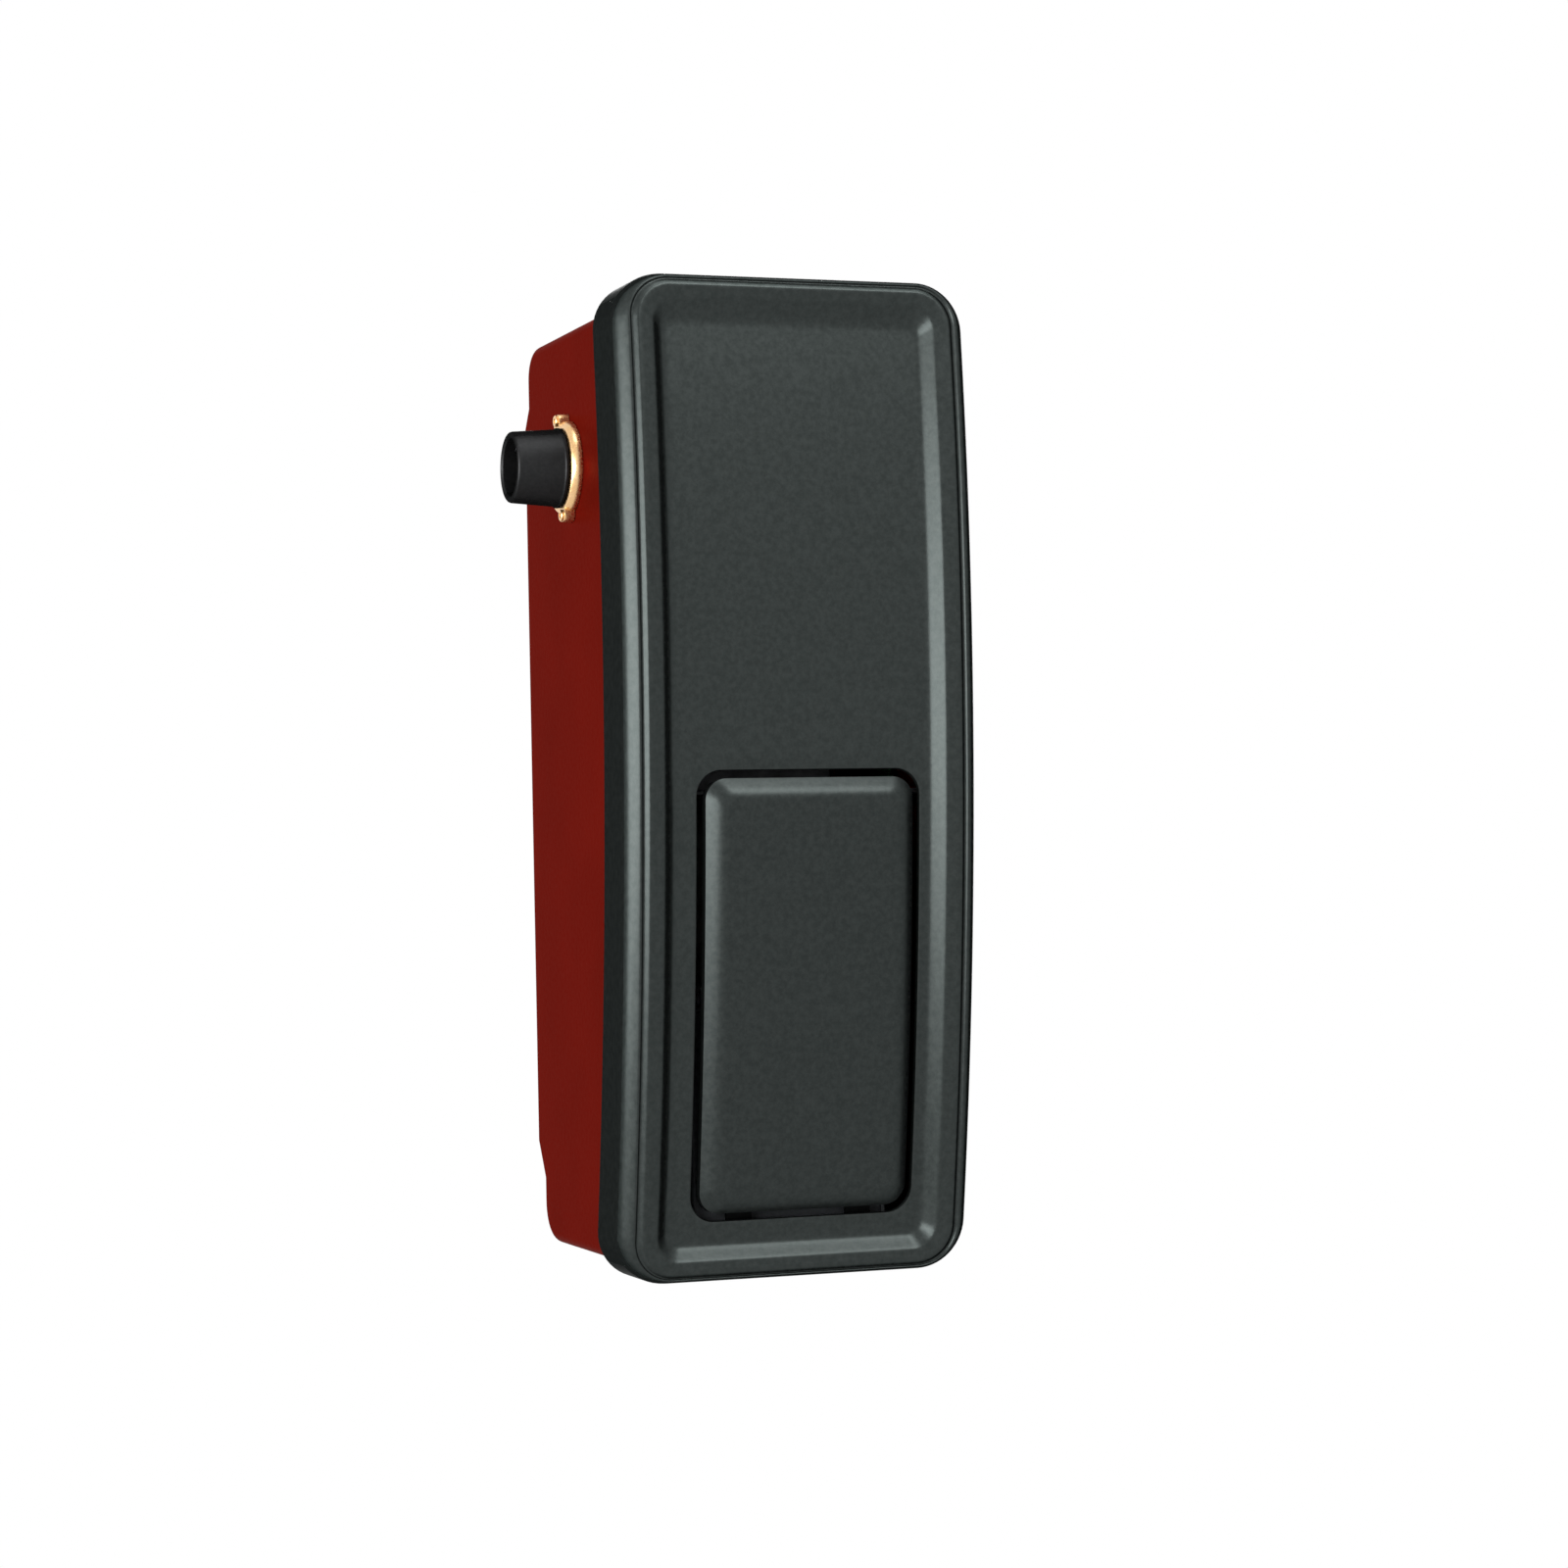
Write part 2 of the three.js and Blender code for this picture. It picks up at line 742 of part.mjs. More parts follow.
function buttonPlaces() {
  return ['up_button', 'learn_button', 'down_button'].map((name, i) => ({
    name,
    z: panelZ + buttonSpacing * (1 - i),
  }));
}

function lampZ() {
  return panelZ + buttonSpacing * 2;
}

// What has to go from the housing's corners so that its front edge fits inside the cover
function coverRoom() {
  const outline = flangeOutline();
  const wide = roundedOutline(0, coverWidth, coverTop + coverCorner, coverBottom - coverCorner, coverCorner);
  const span = [lapDepth - overrun, coverSideDepth + seatGap];
  const around = loft(span.map((depth) => behindCrest(wide, depth)), stripCap(wide.length));
  const within = [lapDepth - overrun - overrun, coverSideDepth + overrun];
  return around.subtract(loft(within.map((depth) => behindCrest(outline, depth)), stripCap(outline.length)));
}

function rearHousing() {
  let shell = sweptAcross(housingOutline(), housingHalf, housingEdge).add(flange()).subtract(housingCavity());
  shell = shell.subtract(coverRoom());
  for (const side of [-1, 1]) {
    const hole = boreRadius(bushOuter, runningGap, fineSides);
    const outside = side * (housingHalf + overrun);
    shell = shell.subtract(bar(hole, 'x', side * (housingInner - overrun), outside, [0, 0], fineSides));
    for (const [y, z] of earPlaces()) {
      const screwHole = boreRadius(screwShank, runningGap, smallSides);
      shell = shell.subtract(bar(
        screwHole,
        'x',
        side * (housingInner - overrun),
        outside,
        [y, z],
        smallSides,
      ));
    }
    for (const z of [padTop - mountHighDrop, padBottom + mountLowRise]) {
      const x = (side * mountSpacingX) / 2;
      const through = [shaftToWall - housingWall - overrun, shaftToWall + overrun];
      shell = shell.subtract(bar(mountHoleRadius, 'y', ...through, [x, z], smallSides));
    }
  }
  for (const [x, z] of coverScrewPlaces()) {
    const face = crestAt(z) + flangeBack();
    const hole = boreRadius(screwShank, runningGap, smallSides);
    const spot = boreRadius(screwHead, runningGap, smallSides);
    shell = shell.subtract(bar(hole, 'y', face - flangeDepth - overrun, face + overrun, [x, z], smallSides));
    shell = shell.subtract(bar(spot, 'y', face - flangeDepth / 2, face + overrun, [x, z], smallSides));
  }
  for (const { z } of buttonPlaces()) {
    shell = shell.subtract(wallHole(buttonStem, z));
  }
  shell = shell.subtract(wallHole(lampRadius, lampZ()));
  shell = shell.subtract(terminalCut());
  shell = shell.subtract(leverSlot());
  const glandHole = boreRadius(glandNeck, runningGap, plainSides);
  const bottom = [housingBottom - overrun, housingBottom + housingWall + overrun];
  return shell.subtract(bar(glandHole, 'z', ...bottom, [glandX, glandY], plainSides));
}

function wallHole(radius, z) {
  const hole = boreRadius(radius, runningGap, smallSides);
  return bar(hole, 'x', housingInner - overrun, housingHalf + overrun, [panelY, z], smallSides);
}

function terminalCut() {
  const halfWidth = terminalBlockWidth / 2 + seatGap;
  const halfHeight = terminalBlockHeight / 2 + seatGap;
  return block(
    [housingInner - overrun, terminalBlockY - halfWidth, terminalBlockZ - halfHeight],
    [housingHalf + overrun, terminalBlockY + halfWidth, terminalBlockZ + halfHeight],
  );
}

function leverSlot() {
  const tab = leverPivotX + leverReach - leverTabThickness / 2;
  return block(
    [tab - leverSlotLength / 2, rodY - leverSlotWidth / 2, housingBottom - overrun],
    [tab + leverSlotLength / 2, rodY + leverSlotWidth / 2, housingBottom + housingWall + overrun],
  );
}

// A socket-head screw whose shank points along an axis from its head: direction is +1 or -1.
function screw(axis, seat, direction, length, place) {
  const head = bar(screwHead, axis, seat, seat - direction * screwHeadHeight, place, smallSides);
  const shank = bar(
    screwShank,
    axis,
    seat - direction * (screwHeadHeight / 2),
    seat + direction * length,
    place,
    smallSides,
  );
  const face = seat - direction * screwHeadHeight;
  const socket = bar(
    screwSocket,
    axis,
    face + direction * screwSocketDepth,
    face - direction * overrun,
    place,
    smallSides / 2,
  );
  return head.add(shank).subtract(socket);
}

function coverScrew(x, z) {
  const seat = crestAt(z) + flangeBack() - flangeDepth / 2 + seatGap;
  return screw('y', seat, -1, coverScrewLength, [x, z]);
}

// Bearing retainers with an ear above and below
function earPlaces() {
  const lean = THREE.MathUtils.degToRad(earTilt);
  return [1, -1].map((side) => [side * earScrew * Math.sin(lean), side * earScrew * Math.cos(lean)]);
}

function retainer(side) {
  const inside = side * (housingHalf + seatGap);
  const outside = side * retainerFace;
  const ears = new THREE.BoxGeometry(Math.abs(outside - inside), earWidth, earReach * 2);
  ears.rotateX(-THREE.MathUtils.degToRad(earTilt)).translate((inside + outside) / 2, 0, 0);
  let ring = bar(retainerOuter, 'x', inside, outside, [0, 0], fineSides).add(solidOf(ears));
  const bore = boreRadius(retainerInner, 0, fineSides);
  ring = ring.subtract(bar(bore, 'x', inside - side * overrun, outside + side * overrun, [0, 0], fineSides));
  for (const place of earPlaces()) {
    const hole = boreRadius(screwShank, runningGap, smallSides);
    ring = ring.subtract(bar(
      hole,
      'x',
      inside - side * overrun,
      outside + side * overrun,
      place,
      smallSides,
    ));
  }
  return ring;
}

function retainerScrew(side, place) {
  return screw('x', side * (retainerFace + seatGap), -side, earScrewLength, place);
}

// Bearing blocks and bushes
function bearingBlock(side) {
  const outside = side * (housingInner - seatGap);
  const inside = outside - side * blockThickness;
  const low = [Math.min(inside, outside), -blockHalf, -blockHalf];
  const high = [Math.max(inside, outside), blockHalf, blockHalf];
  const bore = boreRadius(bushOuter, runningGap, fineSides);
  const cut = [inside - side * overrun, outside + side * overrun];
  let cast = block(low, high).subtract(bar(bore, 'x', ...cut, [0, 0], fineSides));
  for (const place of earPlaces()) {
    const hole = boreRadius(screwShank, runningGap, smallSides);
    const deep = outside - side * earScrewLength;
    cast = cast.subtract(bar(hole, 'x', deep, outside + side * overrun, place, smallSides));
  }
  return cast;
}

function bearingBush(side) {
  const outside = side * (housingHalf - seatGap);
  const inside = outside - side * bushLength;
  const bore = boreRadius(shaftRadius, runningGap, fineSides);
  const cut = bar(bore, 'x', inside - side * overrun, outside + side * overrun, [0, 0], fineSides);
  return bar(bushOuter, 'x', inside, outside, [0, 0], fineSides).subtract(cut);
}

// Output shaft
function barBore() {
  return boreRadius(torsionBarRadius, barGap, fineSides);
}

function outputShaft() {
  const right = wheelMiddle + wheelWidth / 2 + seatGap;
  const shoulder = bar(shoulderRadius, 'x', right, right + shoulderLength, [0, 0], fineSides);
  let shaft = bar(shaftRadius, 'x', shaftLeftEnd, shaftRightEnd, [0, 0], fineSides).add(shoulder);
  const keyRight = hubLeft - seatGap;
  const keyReach = shaftRadius + keyHeight;
  shaft = shaft.add(block([ringLeft - keyRun, -keyReach, -keyWidth / 2], [keyRight, keyReach, keyWidth / 2]));
  const ends = [shaftLeftEnd - overrun, shaftRightEnd + overrun];
  shaft = shaft.subtract(bar(barBore(), 'x', ...ends, [0, 0], fineSides));
  for (const [end, side] of [[shaftLeftEnd, -1], [shaftRightEnd, 1]]) {
    const span = [end - side * driveSlotDepth, end + side * overrun];
    const low = [Math.min(...span), -shoulderRadius, -driveSlotWidth / 2];
    const high = [Math.max(...span), shoulderRadius, driveSlotWidth / 2];
    shaft = shaft.subtract(block(low, high));
  }
  return shaft;
}

function shaftCollar() {
  const base = -(retainerFace + seatGap);
  const sleeve = turnedX(
    [
      [base, barBore()],
      [base, collarBase],
      [base - collarBaseLength + collarFlare, collarBase],
      [base - collarBaseLength, collarRadius],
      [collarEnd + collarChamfer, collarRadius],
      [collarEnd, collarRadius - collarChamfer],
      [collarEnd, barBore()],
    ],
    fineSides,
  );
  const lugReach = shaftLeftEnd + driveSlotDepth - seatGap;
  const lugHalf = driveSlotWidth / 2 - runningGap;
  const lugs = block(
    [base - collarFlare, -shaftRadius + runningGap, -lugHalf],
    [lugReach, shaftRadius - runningGap, lugHalf],
  );
  const bore = bar(barBore(), 'x', base - collarBaseLength, lugReach + overrun, [0, 0], fineSides);
  let collar = sleeve.add(lugs.subtract(bore));
  for (const tilt of setScrewTilts) {
    collar = collar.subtract(radialBar(
      boreRadius(setScrewRadius, runningGap, smallSides),
      tilt,
      0,
      collarBase,
    ));
  }
  return collar;
}

// A bar through the collar's wall, square to its axis, tilted from the line to the wall.
function radialBar(radius, tilt, from, to) {
  const geometry = new THREE.CylinderGeometry(radius, radius, to - from, smallSides);
  geometry.translate(0, (from + to) / 2, 0).rotateX(THREE.MathUtils.degToRad(tilt));
  return solidOf(geometry.translate(setScrewX, 0, 0));
}

function setScrew(tilt) {
  const body = radialBar(setScrewRadius, tilt, torsionBarRadius + barGap, collarRadius);
  return body.subtract(radialBar(screwSocket, tilt, collarRadius - screwSocketDepth, collarBase));
}

// Worm drive
function windAngle(width) {
  return (width * (wormPitch / (2 * Math.PI * wormPitchRadius))) / wheelPitchRadius;
}

function dogs(left, turn) {
  let all = null;
  for (let i = 0; i < dogCount; i += 1) {
    const geometry = new THREE.BoxGeometry(dogLength + seatGap, dogHeight, dogWidth);
    geometry.translate(left + (dogLength + seatGap) / 2, dogRadius + dogHeight / 2, 0);
    geometry.rotateX(turn + (2 * Math.PI * i) / dogCount);
    const dog = solidOf(geometry);
    all = all ? all.add(dog) : dog;
  }
  return all;
}

function wormWheel() {
  const left = wheelMiddle - wheelWidth / 2;
  const toothed = gear(wheelTeeth, wheelModule, toothShare, left, wheelWidth, 0, windAngle(wheelWidth));
  const hub = bar(hubRadius, 'x', hubLeft, left + seatGap, [0, 0], fineSides);
  const bore = boreRadius(shaftRadius, runningGap, fineSides);
  const cut = bar(bore, 'x', hubLeft - overrun, left + wheelWidth + overrun, [0, 0], fineSides);
  return toothed.add(hub).subtract(cut).add(dogs(dogFace, Math.PI / dogCount));
}

// A section of [radius, height] wound round a vertical axis, half of its turns above the middle.
function wound(section, turns, pitch, x, y, middle) {
  const rings = [];
  for (let i = 0; i <= turns * coilSteps; i += 1) {
    const turn = i / coilSteps - turns / 2;
    const angle = Math.PI / 2 + 2 * Math.PI * turn;
    const z = middle + pitch * turn;
    rings.push(section.map(([radius, dz]) => [
      x + radius * Math.cos(angle),
      y + radius * Math.sin(angle),
      z + dz,
    ]));
  }
  return loft(rings, flatCap(section));
}

function wormThread() {
  const root = wormPitchRadius - wheelModule * dedendumShare - seatGap;
  const tip = wormPitchRadius + wheelModule * addendumShare;
  const half = (wormPitch * wormToothShare) / 2;
  const tipHalf = half - (tip - wormPitchRadius) * flankShare;
  const rootHalf = half + (wormPitchRadius - root) * flankShare;
  const section = [[root, -rootHalf], [tip, -tipHalf], [tip, tipHalf], [root, rootHalf]];
  return wound(section, wormTurns, wormPitch, wheelMiddle, wormAxisY, 0);
}

function wormShaft() {
  const core = wormPitchRadius - wheelModule * dedendumShare;
  const half = (wormTurns * wormPitch) / 2 + wormPitch / 2;
  const place = [wheelMiddle, wormAxisY];
  return bar(wormShaftRadius, 'z', motorBottom, wormShaftTop, place, plainSides)
    .add(bar(core, 'z', -half, half, place, plainSides))
    .add(wormThread());
}

function lugBush(low) {
  const place = [wheelMiddle, wormAxisY];
  const bore = boreRadius(wormShaftRadius, runningGap, plainSides);
  const cut = bar(bore, 'z', low - overrun, low + lugThickness + overrun, place, plainSides);
  return bar(wormBushOuter, 'z', low, low + lugThickness, place, plainSides).subtract(cut);
}

function motorScrewPlaces() {
  return [-1, 1].map((side) => [wheelMiddle + (side * motorScrewSpread) / 2, wormAxisY]);
}

function bracketFront() {
  return backFace - housingWall - seatGap - bracketPlate;
}

function gearBracket() {
  const back = backFace - housingWall - seatGap;
  const front = bracketFront();
  const padBack = shaftToWall - housingWall - seatGap;
  let cast = block([bracketLeft, front, lowerLug], [bracketRight, back, bracketTop]);
  cast = cast.add(block([bracketLeft, front, lowerLug], [bracketRight, padBack, padTop - padTopSlope]));
  for (const low of [upperLug, lowerLug]) {
    const place = [wheelMiddle, wormAxisY];
    const lug = block(
      [wheelMiddle - motorRadius, wormAxisY, low],
      [wheelMiddle + motorRadius, front, low + lugThickness],
    );
    const nose = bar(wormAxisY - lugFront, 'z', low, low + lugThickness, place, plainSides);
    const bore = boreRadius(wormBushOuter, runningGap, plainSides);
    const cut = bar(bore, 'z', low - overrun, low + lugThickness + overrun, place, plainSides);
    cast = cast.add(lug).add(nose).subtract(cut);
  }
  for (const place of motorScrewPlaces()) {
    const hole = boreRadius(screwShank, runningGap, smallSides);
    cast = cast.subtract(bar(
      hole,
      'z',
      lowerLug - overrun,
      lowerLug + lugThickness + overrun,
      place,
      smallSides,
    ));
  }
  const bossFront = rodY + armWidth / 2 + seatGap;
  const boss = bar(forkHubRadius, 'y', bossFront, front + seatGap, [forkX, -forkPivotDrop], plainSides);
  const pinHole = boreRadius(pivotPinRadius, runningGap, smallSides);
  const drilled = bar(pinHole, 'y', bossFront - overrun, front, [forkX, -forkPivotDrop], smallSides);
  return cast.add(boss).subtract(drilled);
}

// Motor
function motorCan() {
  const bore = boreRadius(wormShaftRadius, seatGap, plainSides);
  let can = turnedZ(
    [
      [motorTop, bore],
      [motorTop, motorRadius],
      [motorBottom, motorRadius],
      [motorBottom, motorRadius - motorWall],
      [motorTop - motorWall, motorRadius - motorWall],
      [motorTop - motorWall, bore],
    ],
    fineSides,
    wheelMiddle,
    wormAxisY,
  );
  for (const place of motorScrewPlaces()) {
    const hole = boreRadius(screwShank, runningGap, smallSides);
    can = can.subtract(bar(hole, 'z', motorTop - motorWall - overrun, motorTop + overrun, place, smallSides));
  }
  return can;
}

function motorEndCap() {
  const place = [wheelMiddle, wormAxisY];
  const disc = bar(
    motorRadius,
    'z',
    motorBottom - seatGap - motorCapThickness,
    motorBottom - seatGap,
    place,
    fineSides,
  );
  const spigot = bar(
    motorRadius - motorWall - seatGap - seatGap,
    'z',
    motorBottom - seatGap - motorWall,
    motorBottom + motorWall,
    place,
    fineSides,
  );
  const bore = boreRadius(wormShaftRadius, runningGap, plainSides);
  return disc.add(spigot).subtract(bar(
    bore,
    'z',
    motorBottom - motorWall,
    motorBottom + motorRadius,
    place,
    plainSides,
  ));
}

function rotorCore() {
  const top = motorTop - rotorInset;
  const bottom = motorBottom + rotorInset;
  const place = [wheelMiddle, wormAxisY];
  const bore = boreRadius(wormShaftRadius, runningGap, plainSides);
  const cut = bar(bore, 'z', bottom - overrun, top + overrun, place, plainSides);
  return bar(rotorRadius, 'z', bottom, top, place, plainSides).subtract(cut);
}

function motorScrew(place) {
  return screw('z', lowerLug + lugThickness + seatGap, -1, lugThickness + motorWall, place);
}

// Clutch ring: slides on the shaft's keys and locks the wheel to the shaft
function clutchRing() {
  const grooveLow = forkX - grooveWidth / 2;
  const grooveHigh = forkX + grooveWidth / 2;
  const bore = boreRadius(shaftRadius, runningGap, fineSides);
  const ring = turnedX(
    [
      [ringLeft, bore],
      [ringLeft, ringRadius],
      [grooveLow, ringRadius],
      [grooveLow, ringRadius - grooveDepth],
      [grooveHigh, ringRadius - grooveDepth],
      [grooveHigh, ringRadius],
      [ringRight, ringRadius],
      [ringRight, bore],
    ],
    fineSides,
  );
  const keyway = block(
    [ringLeft - overrun, -shaftRadius - keyHeight - runningGap, -keyWidth / 2 - runningGap],
    [ringRight + overrun, shaftRadius + keyHeight + runningGap, keyWidth / 2 + runningGap],
  );
  return ring.subtract(keyway).add(dogs(ringRight - seatGap, 0));
}

// Shift fork: a yoke round the clutch ring, with an arm at the back that the release rod pulls down
function shiftFork() {
  const low = forkX - forkThickness / 2;
  const high = forkX + forkThickness / 2;
  const outer = forkBore + forkRim;
  let yoke = bar(outer, 'x', low, high, [0, 0], fineSides);
  yoke = yoke.subtract(bar(forkBore, 'x', low - overrun, high + overrun, [0, 0], fineSides));
  yoke = yoke.subtract(block(
    [low - overrun, -outer - overrun, forkRim / 2],
    [high + overrun, outer + overrun, outer + overrun],
  ));
  for (const side of [-1, 1]) {
    const pin = [side * (ringRadius - grooveDepth + seatGap + runningGap), side * (forkBore + forkRim / 2)];
    yoke = yoke.add(bar(forkPin, 'y', ...pin, [forkX, 0], smallSides));
  }
  const pivot = [forkX, -forkPivotDrop];
  const armBack = rodY + armWidth / 2;
  const hub = bar(forkHubRadius, 'y', -forkRim, armBack, pivot, plainSides);
  const outside = boreRadius(ringRadius, runningGap, fineSides);
  const arm = block(
    [rodX - armWidth / 2, rodY - armWidth / 2, -forkPivotDrop - armThickness / 2],
    [forkX, armBack, -forkPivotDrop + armThickness / 2],
  );
  const clear = bar(outside, 'x', rodX - armWidth, forkX + forkHubRadius + overrun, [0, 0], fineSides);
  const pinHole = boreRadius(pivotPinRadius, runningGap, smallSides);
  const rodHole = boreRadius(rodRadius, rodPlay, smallSides);
  return yoke
    .add(hub.subtract(clear))
    .add(arm.subtract(clear))
    .subtract(bar(pinHole, 'y', -outer, outer + overrun, pivot, smallSides))
    .subtract(bar(
      rodHole,
      'z',
      -forkPivotDrop - armThickness,
      -forkPivotDrop + armThickness,
      [rodX, rodY],
      smallSides,
    ));
}

function forkPivotPin() {
  return bar(
    pivotPinRadius,
    'y',
    -forkRim - overrun,
    bracketFront() - seatGap,
    [forkX, -forkPivotDrop],
    smallSides,
  );
}

// Release rod: a head over the fork's arm and an eye round the lever's stud
function releaseRod() {
  const foot = leverPivotZ;
  const eyeRadius = leverHeight;
  const eye = bar(
    eyeRadius,
    'y',
    rodY - leverWidth / 2 - rodHeadHeight - seatGap,
    rodY - leverWidth / 2 - seatGap,
    [rodX, foot],
    plainSides,
  );
  const stud = boreRadius(rodRadius, seatGap + seatGap + runningGap, smallSides);
  const hole = bar(stud, 'y', rodY - leverWidth - rodHeadHeight, rodY, [rodX, foot], smallSides);
  const eyeY = rodY - leverWidth / 2 - seatGap - rodHeadHeight / 2;
  const crank = block(
    [rodX - rodRadius, eyeY - rodHeadHeight / 2, foot + leverHeight + overrun],
    [rodX + rodRadius, rodY + rodRadius, foot + leverHeight + overrun + rodRadius * 2],
  );
  const link = block(
    [rodX - rodRadius, eyeY - rodHeadHeight / 2, foot + rodRadius * 2],
    [rodX + rodRadius, eyeY + rodHeadHeight / 2, foot + leverHeight + overrun + rodRadius],
  );
  const underArm = -forkPivotDrop - armThickness / 2 - rodPlay;
  const springTop = springFoot() + springLength;
  return bar(rodRadius, 'z', foot + leverHeight + overrun, rodTop + rodHeadHeight, [rodX, rodY], smallSides)
    .add(bar(rodHead, 'z', rodTop, rodTop + rodHeadHeight, [rodX, rodY], smallSides))
    .add(bar(rodHead, 'z', underArm - rodHeadHeight, underArm, [rodX, rodY], smallSides))
    .add(bar(
      springSeat,
      'z',
      springTop + seatGap,
      springTop + seatGap + rodHeadHeight,
      [rodX, rodY],
      plainSides,
    ))
    .add(crank)
    .add(eye)
    .add(link)
    .subtract(hole);
}

function springFoot() {
  return trayRoof + seatGap;
}

// Spring that lifts the rod again: it stands on the tab of the battery tray
function rodSpring() {
  const section = [];
  for (let i = 0; i < springSides; i += 1) {
    const angle = (2 * Math.PI * i) / springSides;
    section.push([springRadius + springWire * Math.cos(angle), springWire * Math.sin(angle)]);
  }
  const pitch = (springLength - springWire * 2) / springTurns;
  console.log(`rod_spring least gap to itself ${(pitch - springWire * 2).toFixed(2)} mm`);
  return wound(section, springTurns, pitch, rodX, rodY, springFoot() + springLength / 2);
}

// Release lever: turns on its pin, carries a stud for the rod's eye and a tab with a rope hole
function releaseLever() {
  const low = rodY - leverWidth / 2;
  const high = rodY + leverWidth / 2;
  const end = leverPivotX + leverReach;
  const body = block(
    [leverPivotX, low, leverPivotZ - leverHeight / 2],
    [end, high, leverPivotZ + leverHeight / 2],
  );
  const hub = bar(leverHub, 'y', low, high, [leverPivotX, leverPivotZ], plainSides);
  const tab = block([end - leverTabThickness, low, leverPivotZ - leverTabDrop], [end, high, leverPivotZ]);
  const stud = bar(
    rodRadius,
    'y',
    low - rodHeadHeight - seatGap,
    low + seatGap,
    [rodX, leverPivotZ],
    smallSides,
  );
  const ropeZ = leverPivotZ - leverTabDrop + leverHeight / 2 + ropeHoleRadius / 2;
  const rope = bar(
    ropeHoleRadius,
    'x',
    end - leverTabThickness - overrun,
    end + overrun,
    [rodY, ropeZ],
    smallSides,
  );
  const pinHole = boreRadius(pivotPinRadius, runningGap, smallSides);
  const pin = bar(pinHole, 'y', low - overrun, high + overrun, [leverPivotX, leverPivotZ], smallSides);
  return body.add(hub).add(tab).add(stud).subtract(pin).subtract(rope);
}

// The lever's pin stands on a post from the tray's back plate
function leverPin() {
  return bar(
    pivotPinRadius,
    'y',
    trayBack + seatGap,
    rodY + leverWidth / 2 + overrun,
    [leverPivotX, leverPivotZ],
    smallSides,
  );
}

// Travel sensor
function sensorGear() {
  const toothed = gear(
    sensorGearTeeth,
    sensorModule,
    toothShare,
    sensorGearLeft,
    sensorGearWidth,
    meshTurn(),
    0,
  );
  const bore = boreRadius(shaftRadius, runningGap, fineSides);
  const cut = [sensorGearLeft - overrun, sensorGearLeft + sensorGearWidth + overrun];
  return toothed.subtract(bar(bore, 'x', ...cut, [0, 0], fineSides));
}

// The gear has a tooth, and the pinion a gap, on the line between their axes.
function meshTurn() {
  return THREE.MathUtils.degToRad(sensorAngle);
}

function sensorPinion() {
  const turn = meshTurn() + Math.PI + Math.PI / sensorPinionTeeth;
  const geometry = geometryOf(
    gear(sensorPinionTeeth, sensorModule, toothShare, sensorGearLeft, sensorGearWidth, turn, 0),
  );
  const toothed = solidOf(geometry.translate(0, sensorY, sensorZ));
  const stubEnd = sensorBoxLeft() + sensorBoxThickness / 2;
  return toothed.add(bar(sensorStubRadius, 'x', sensorGearLeft, stubEnd, [sensorY, sensorZ], smallSides));
}

function sensorBoxLeft() {
  return housingInner - seatGap - blockThickness - seatGap - sensorBoxThickness;
}

function travelSensor() {
  const half = sensorBoxSize / 2;
  const left = sensorBoxLeft();
  const box = block(
    [left, sensorY - half, sensorZ - half],
    [left + sensorBoxThickness, sensorY + half, sensorZ + half],
  );
  const hole = boreRadius(sensorStubRadius, runningGap, smallSides);
  const deep = left + sensorBoxThickness / 2 + seatGap;
  return box.subtract(bar(hole, 'x', left - overrun, deep, [sensorY, sensorZ], smallSides));
}

// Electronics
function standoffPlaces() {
  const x = boardWidth / 2 - standoffInset;
  return [-x, x].flatMap((px) => [[px, boardTop - standoffInset], [px, boardBottom + standoffInset]]);
}

function boardCarrier() {
  const half = housingInner - seatGap;
  const front = carrierBack - carrierThickness;
  let carrier = block([-half, front, boardBottom], [half, carrierBack, boardTop]);
  for (const side of [-1, 1]) {
    const inner = side * (half - carrierThickness);
    const low = [Math.min(inner, side * half), front, boardBottom];
    const high = [Math.max(inner, side * half), carrierBack + carrierFoot, boardTop];
    carrier = carrier.add(block(low, high));
  }
  for (const place of standoffPlaces()) {
    carrier = carrier.add(bar(
      standoffRadius,
      'y',
      front - standoffHeight + seatGap,
      carrierBack,
      place,
      smallSides,
    ));
  }
  return carrier;
}

function logicBoard() {
  const half = boardWidth / 2;
  return block([-half, boardY, boardBottom], [half, boardY + boardThickness, boardTop]);
}

function relay() {
  const front = boardY - seatGap - relayDepth;
  const high = boardTop - standoffInset * 4;
  return block([-relayWidth * 2, front, high - relayHeight], [-relayWidth, boardY - seatGap, high]);
}

function capacitor() {
  const y = carrierBack + seatGap + capacitorRadius;
  const top = boardBottom + standoffInset + capacitorLength;
  return bar(capacitorRadius, 'z', top - capacitorLength, top, [-boardWidth / 3, y], plainSides);
}

// Transformer on the tray's roof
function transformerFoot() {
  return trayRoof + seatGap;
}

function transformerCore() {
  const half = coreWidth / 2;
  const foot = transformerFoot();
  const low = [-half, coreMiddleY - coreDepth / 2, foot];
  const high = [half, coreMiddleY + coreDepth / 2, foot + coreHeight];
  let core = block(low, high);
  for (const side of [-1, 1]) {
    const inner = (side * coreLimb) / 2;
    const outer = side * (half - coreLimb / 2);
    core = core.subtract(
      block(
        [Math.min(inner, outer), low[1] - overrun, foot + coreLimb],
        [Math.max(inner, outer), high[1] + overrun, foot + coreHeight - coreLimb],
      ),
    );
  }
  return core;
}

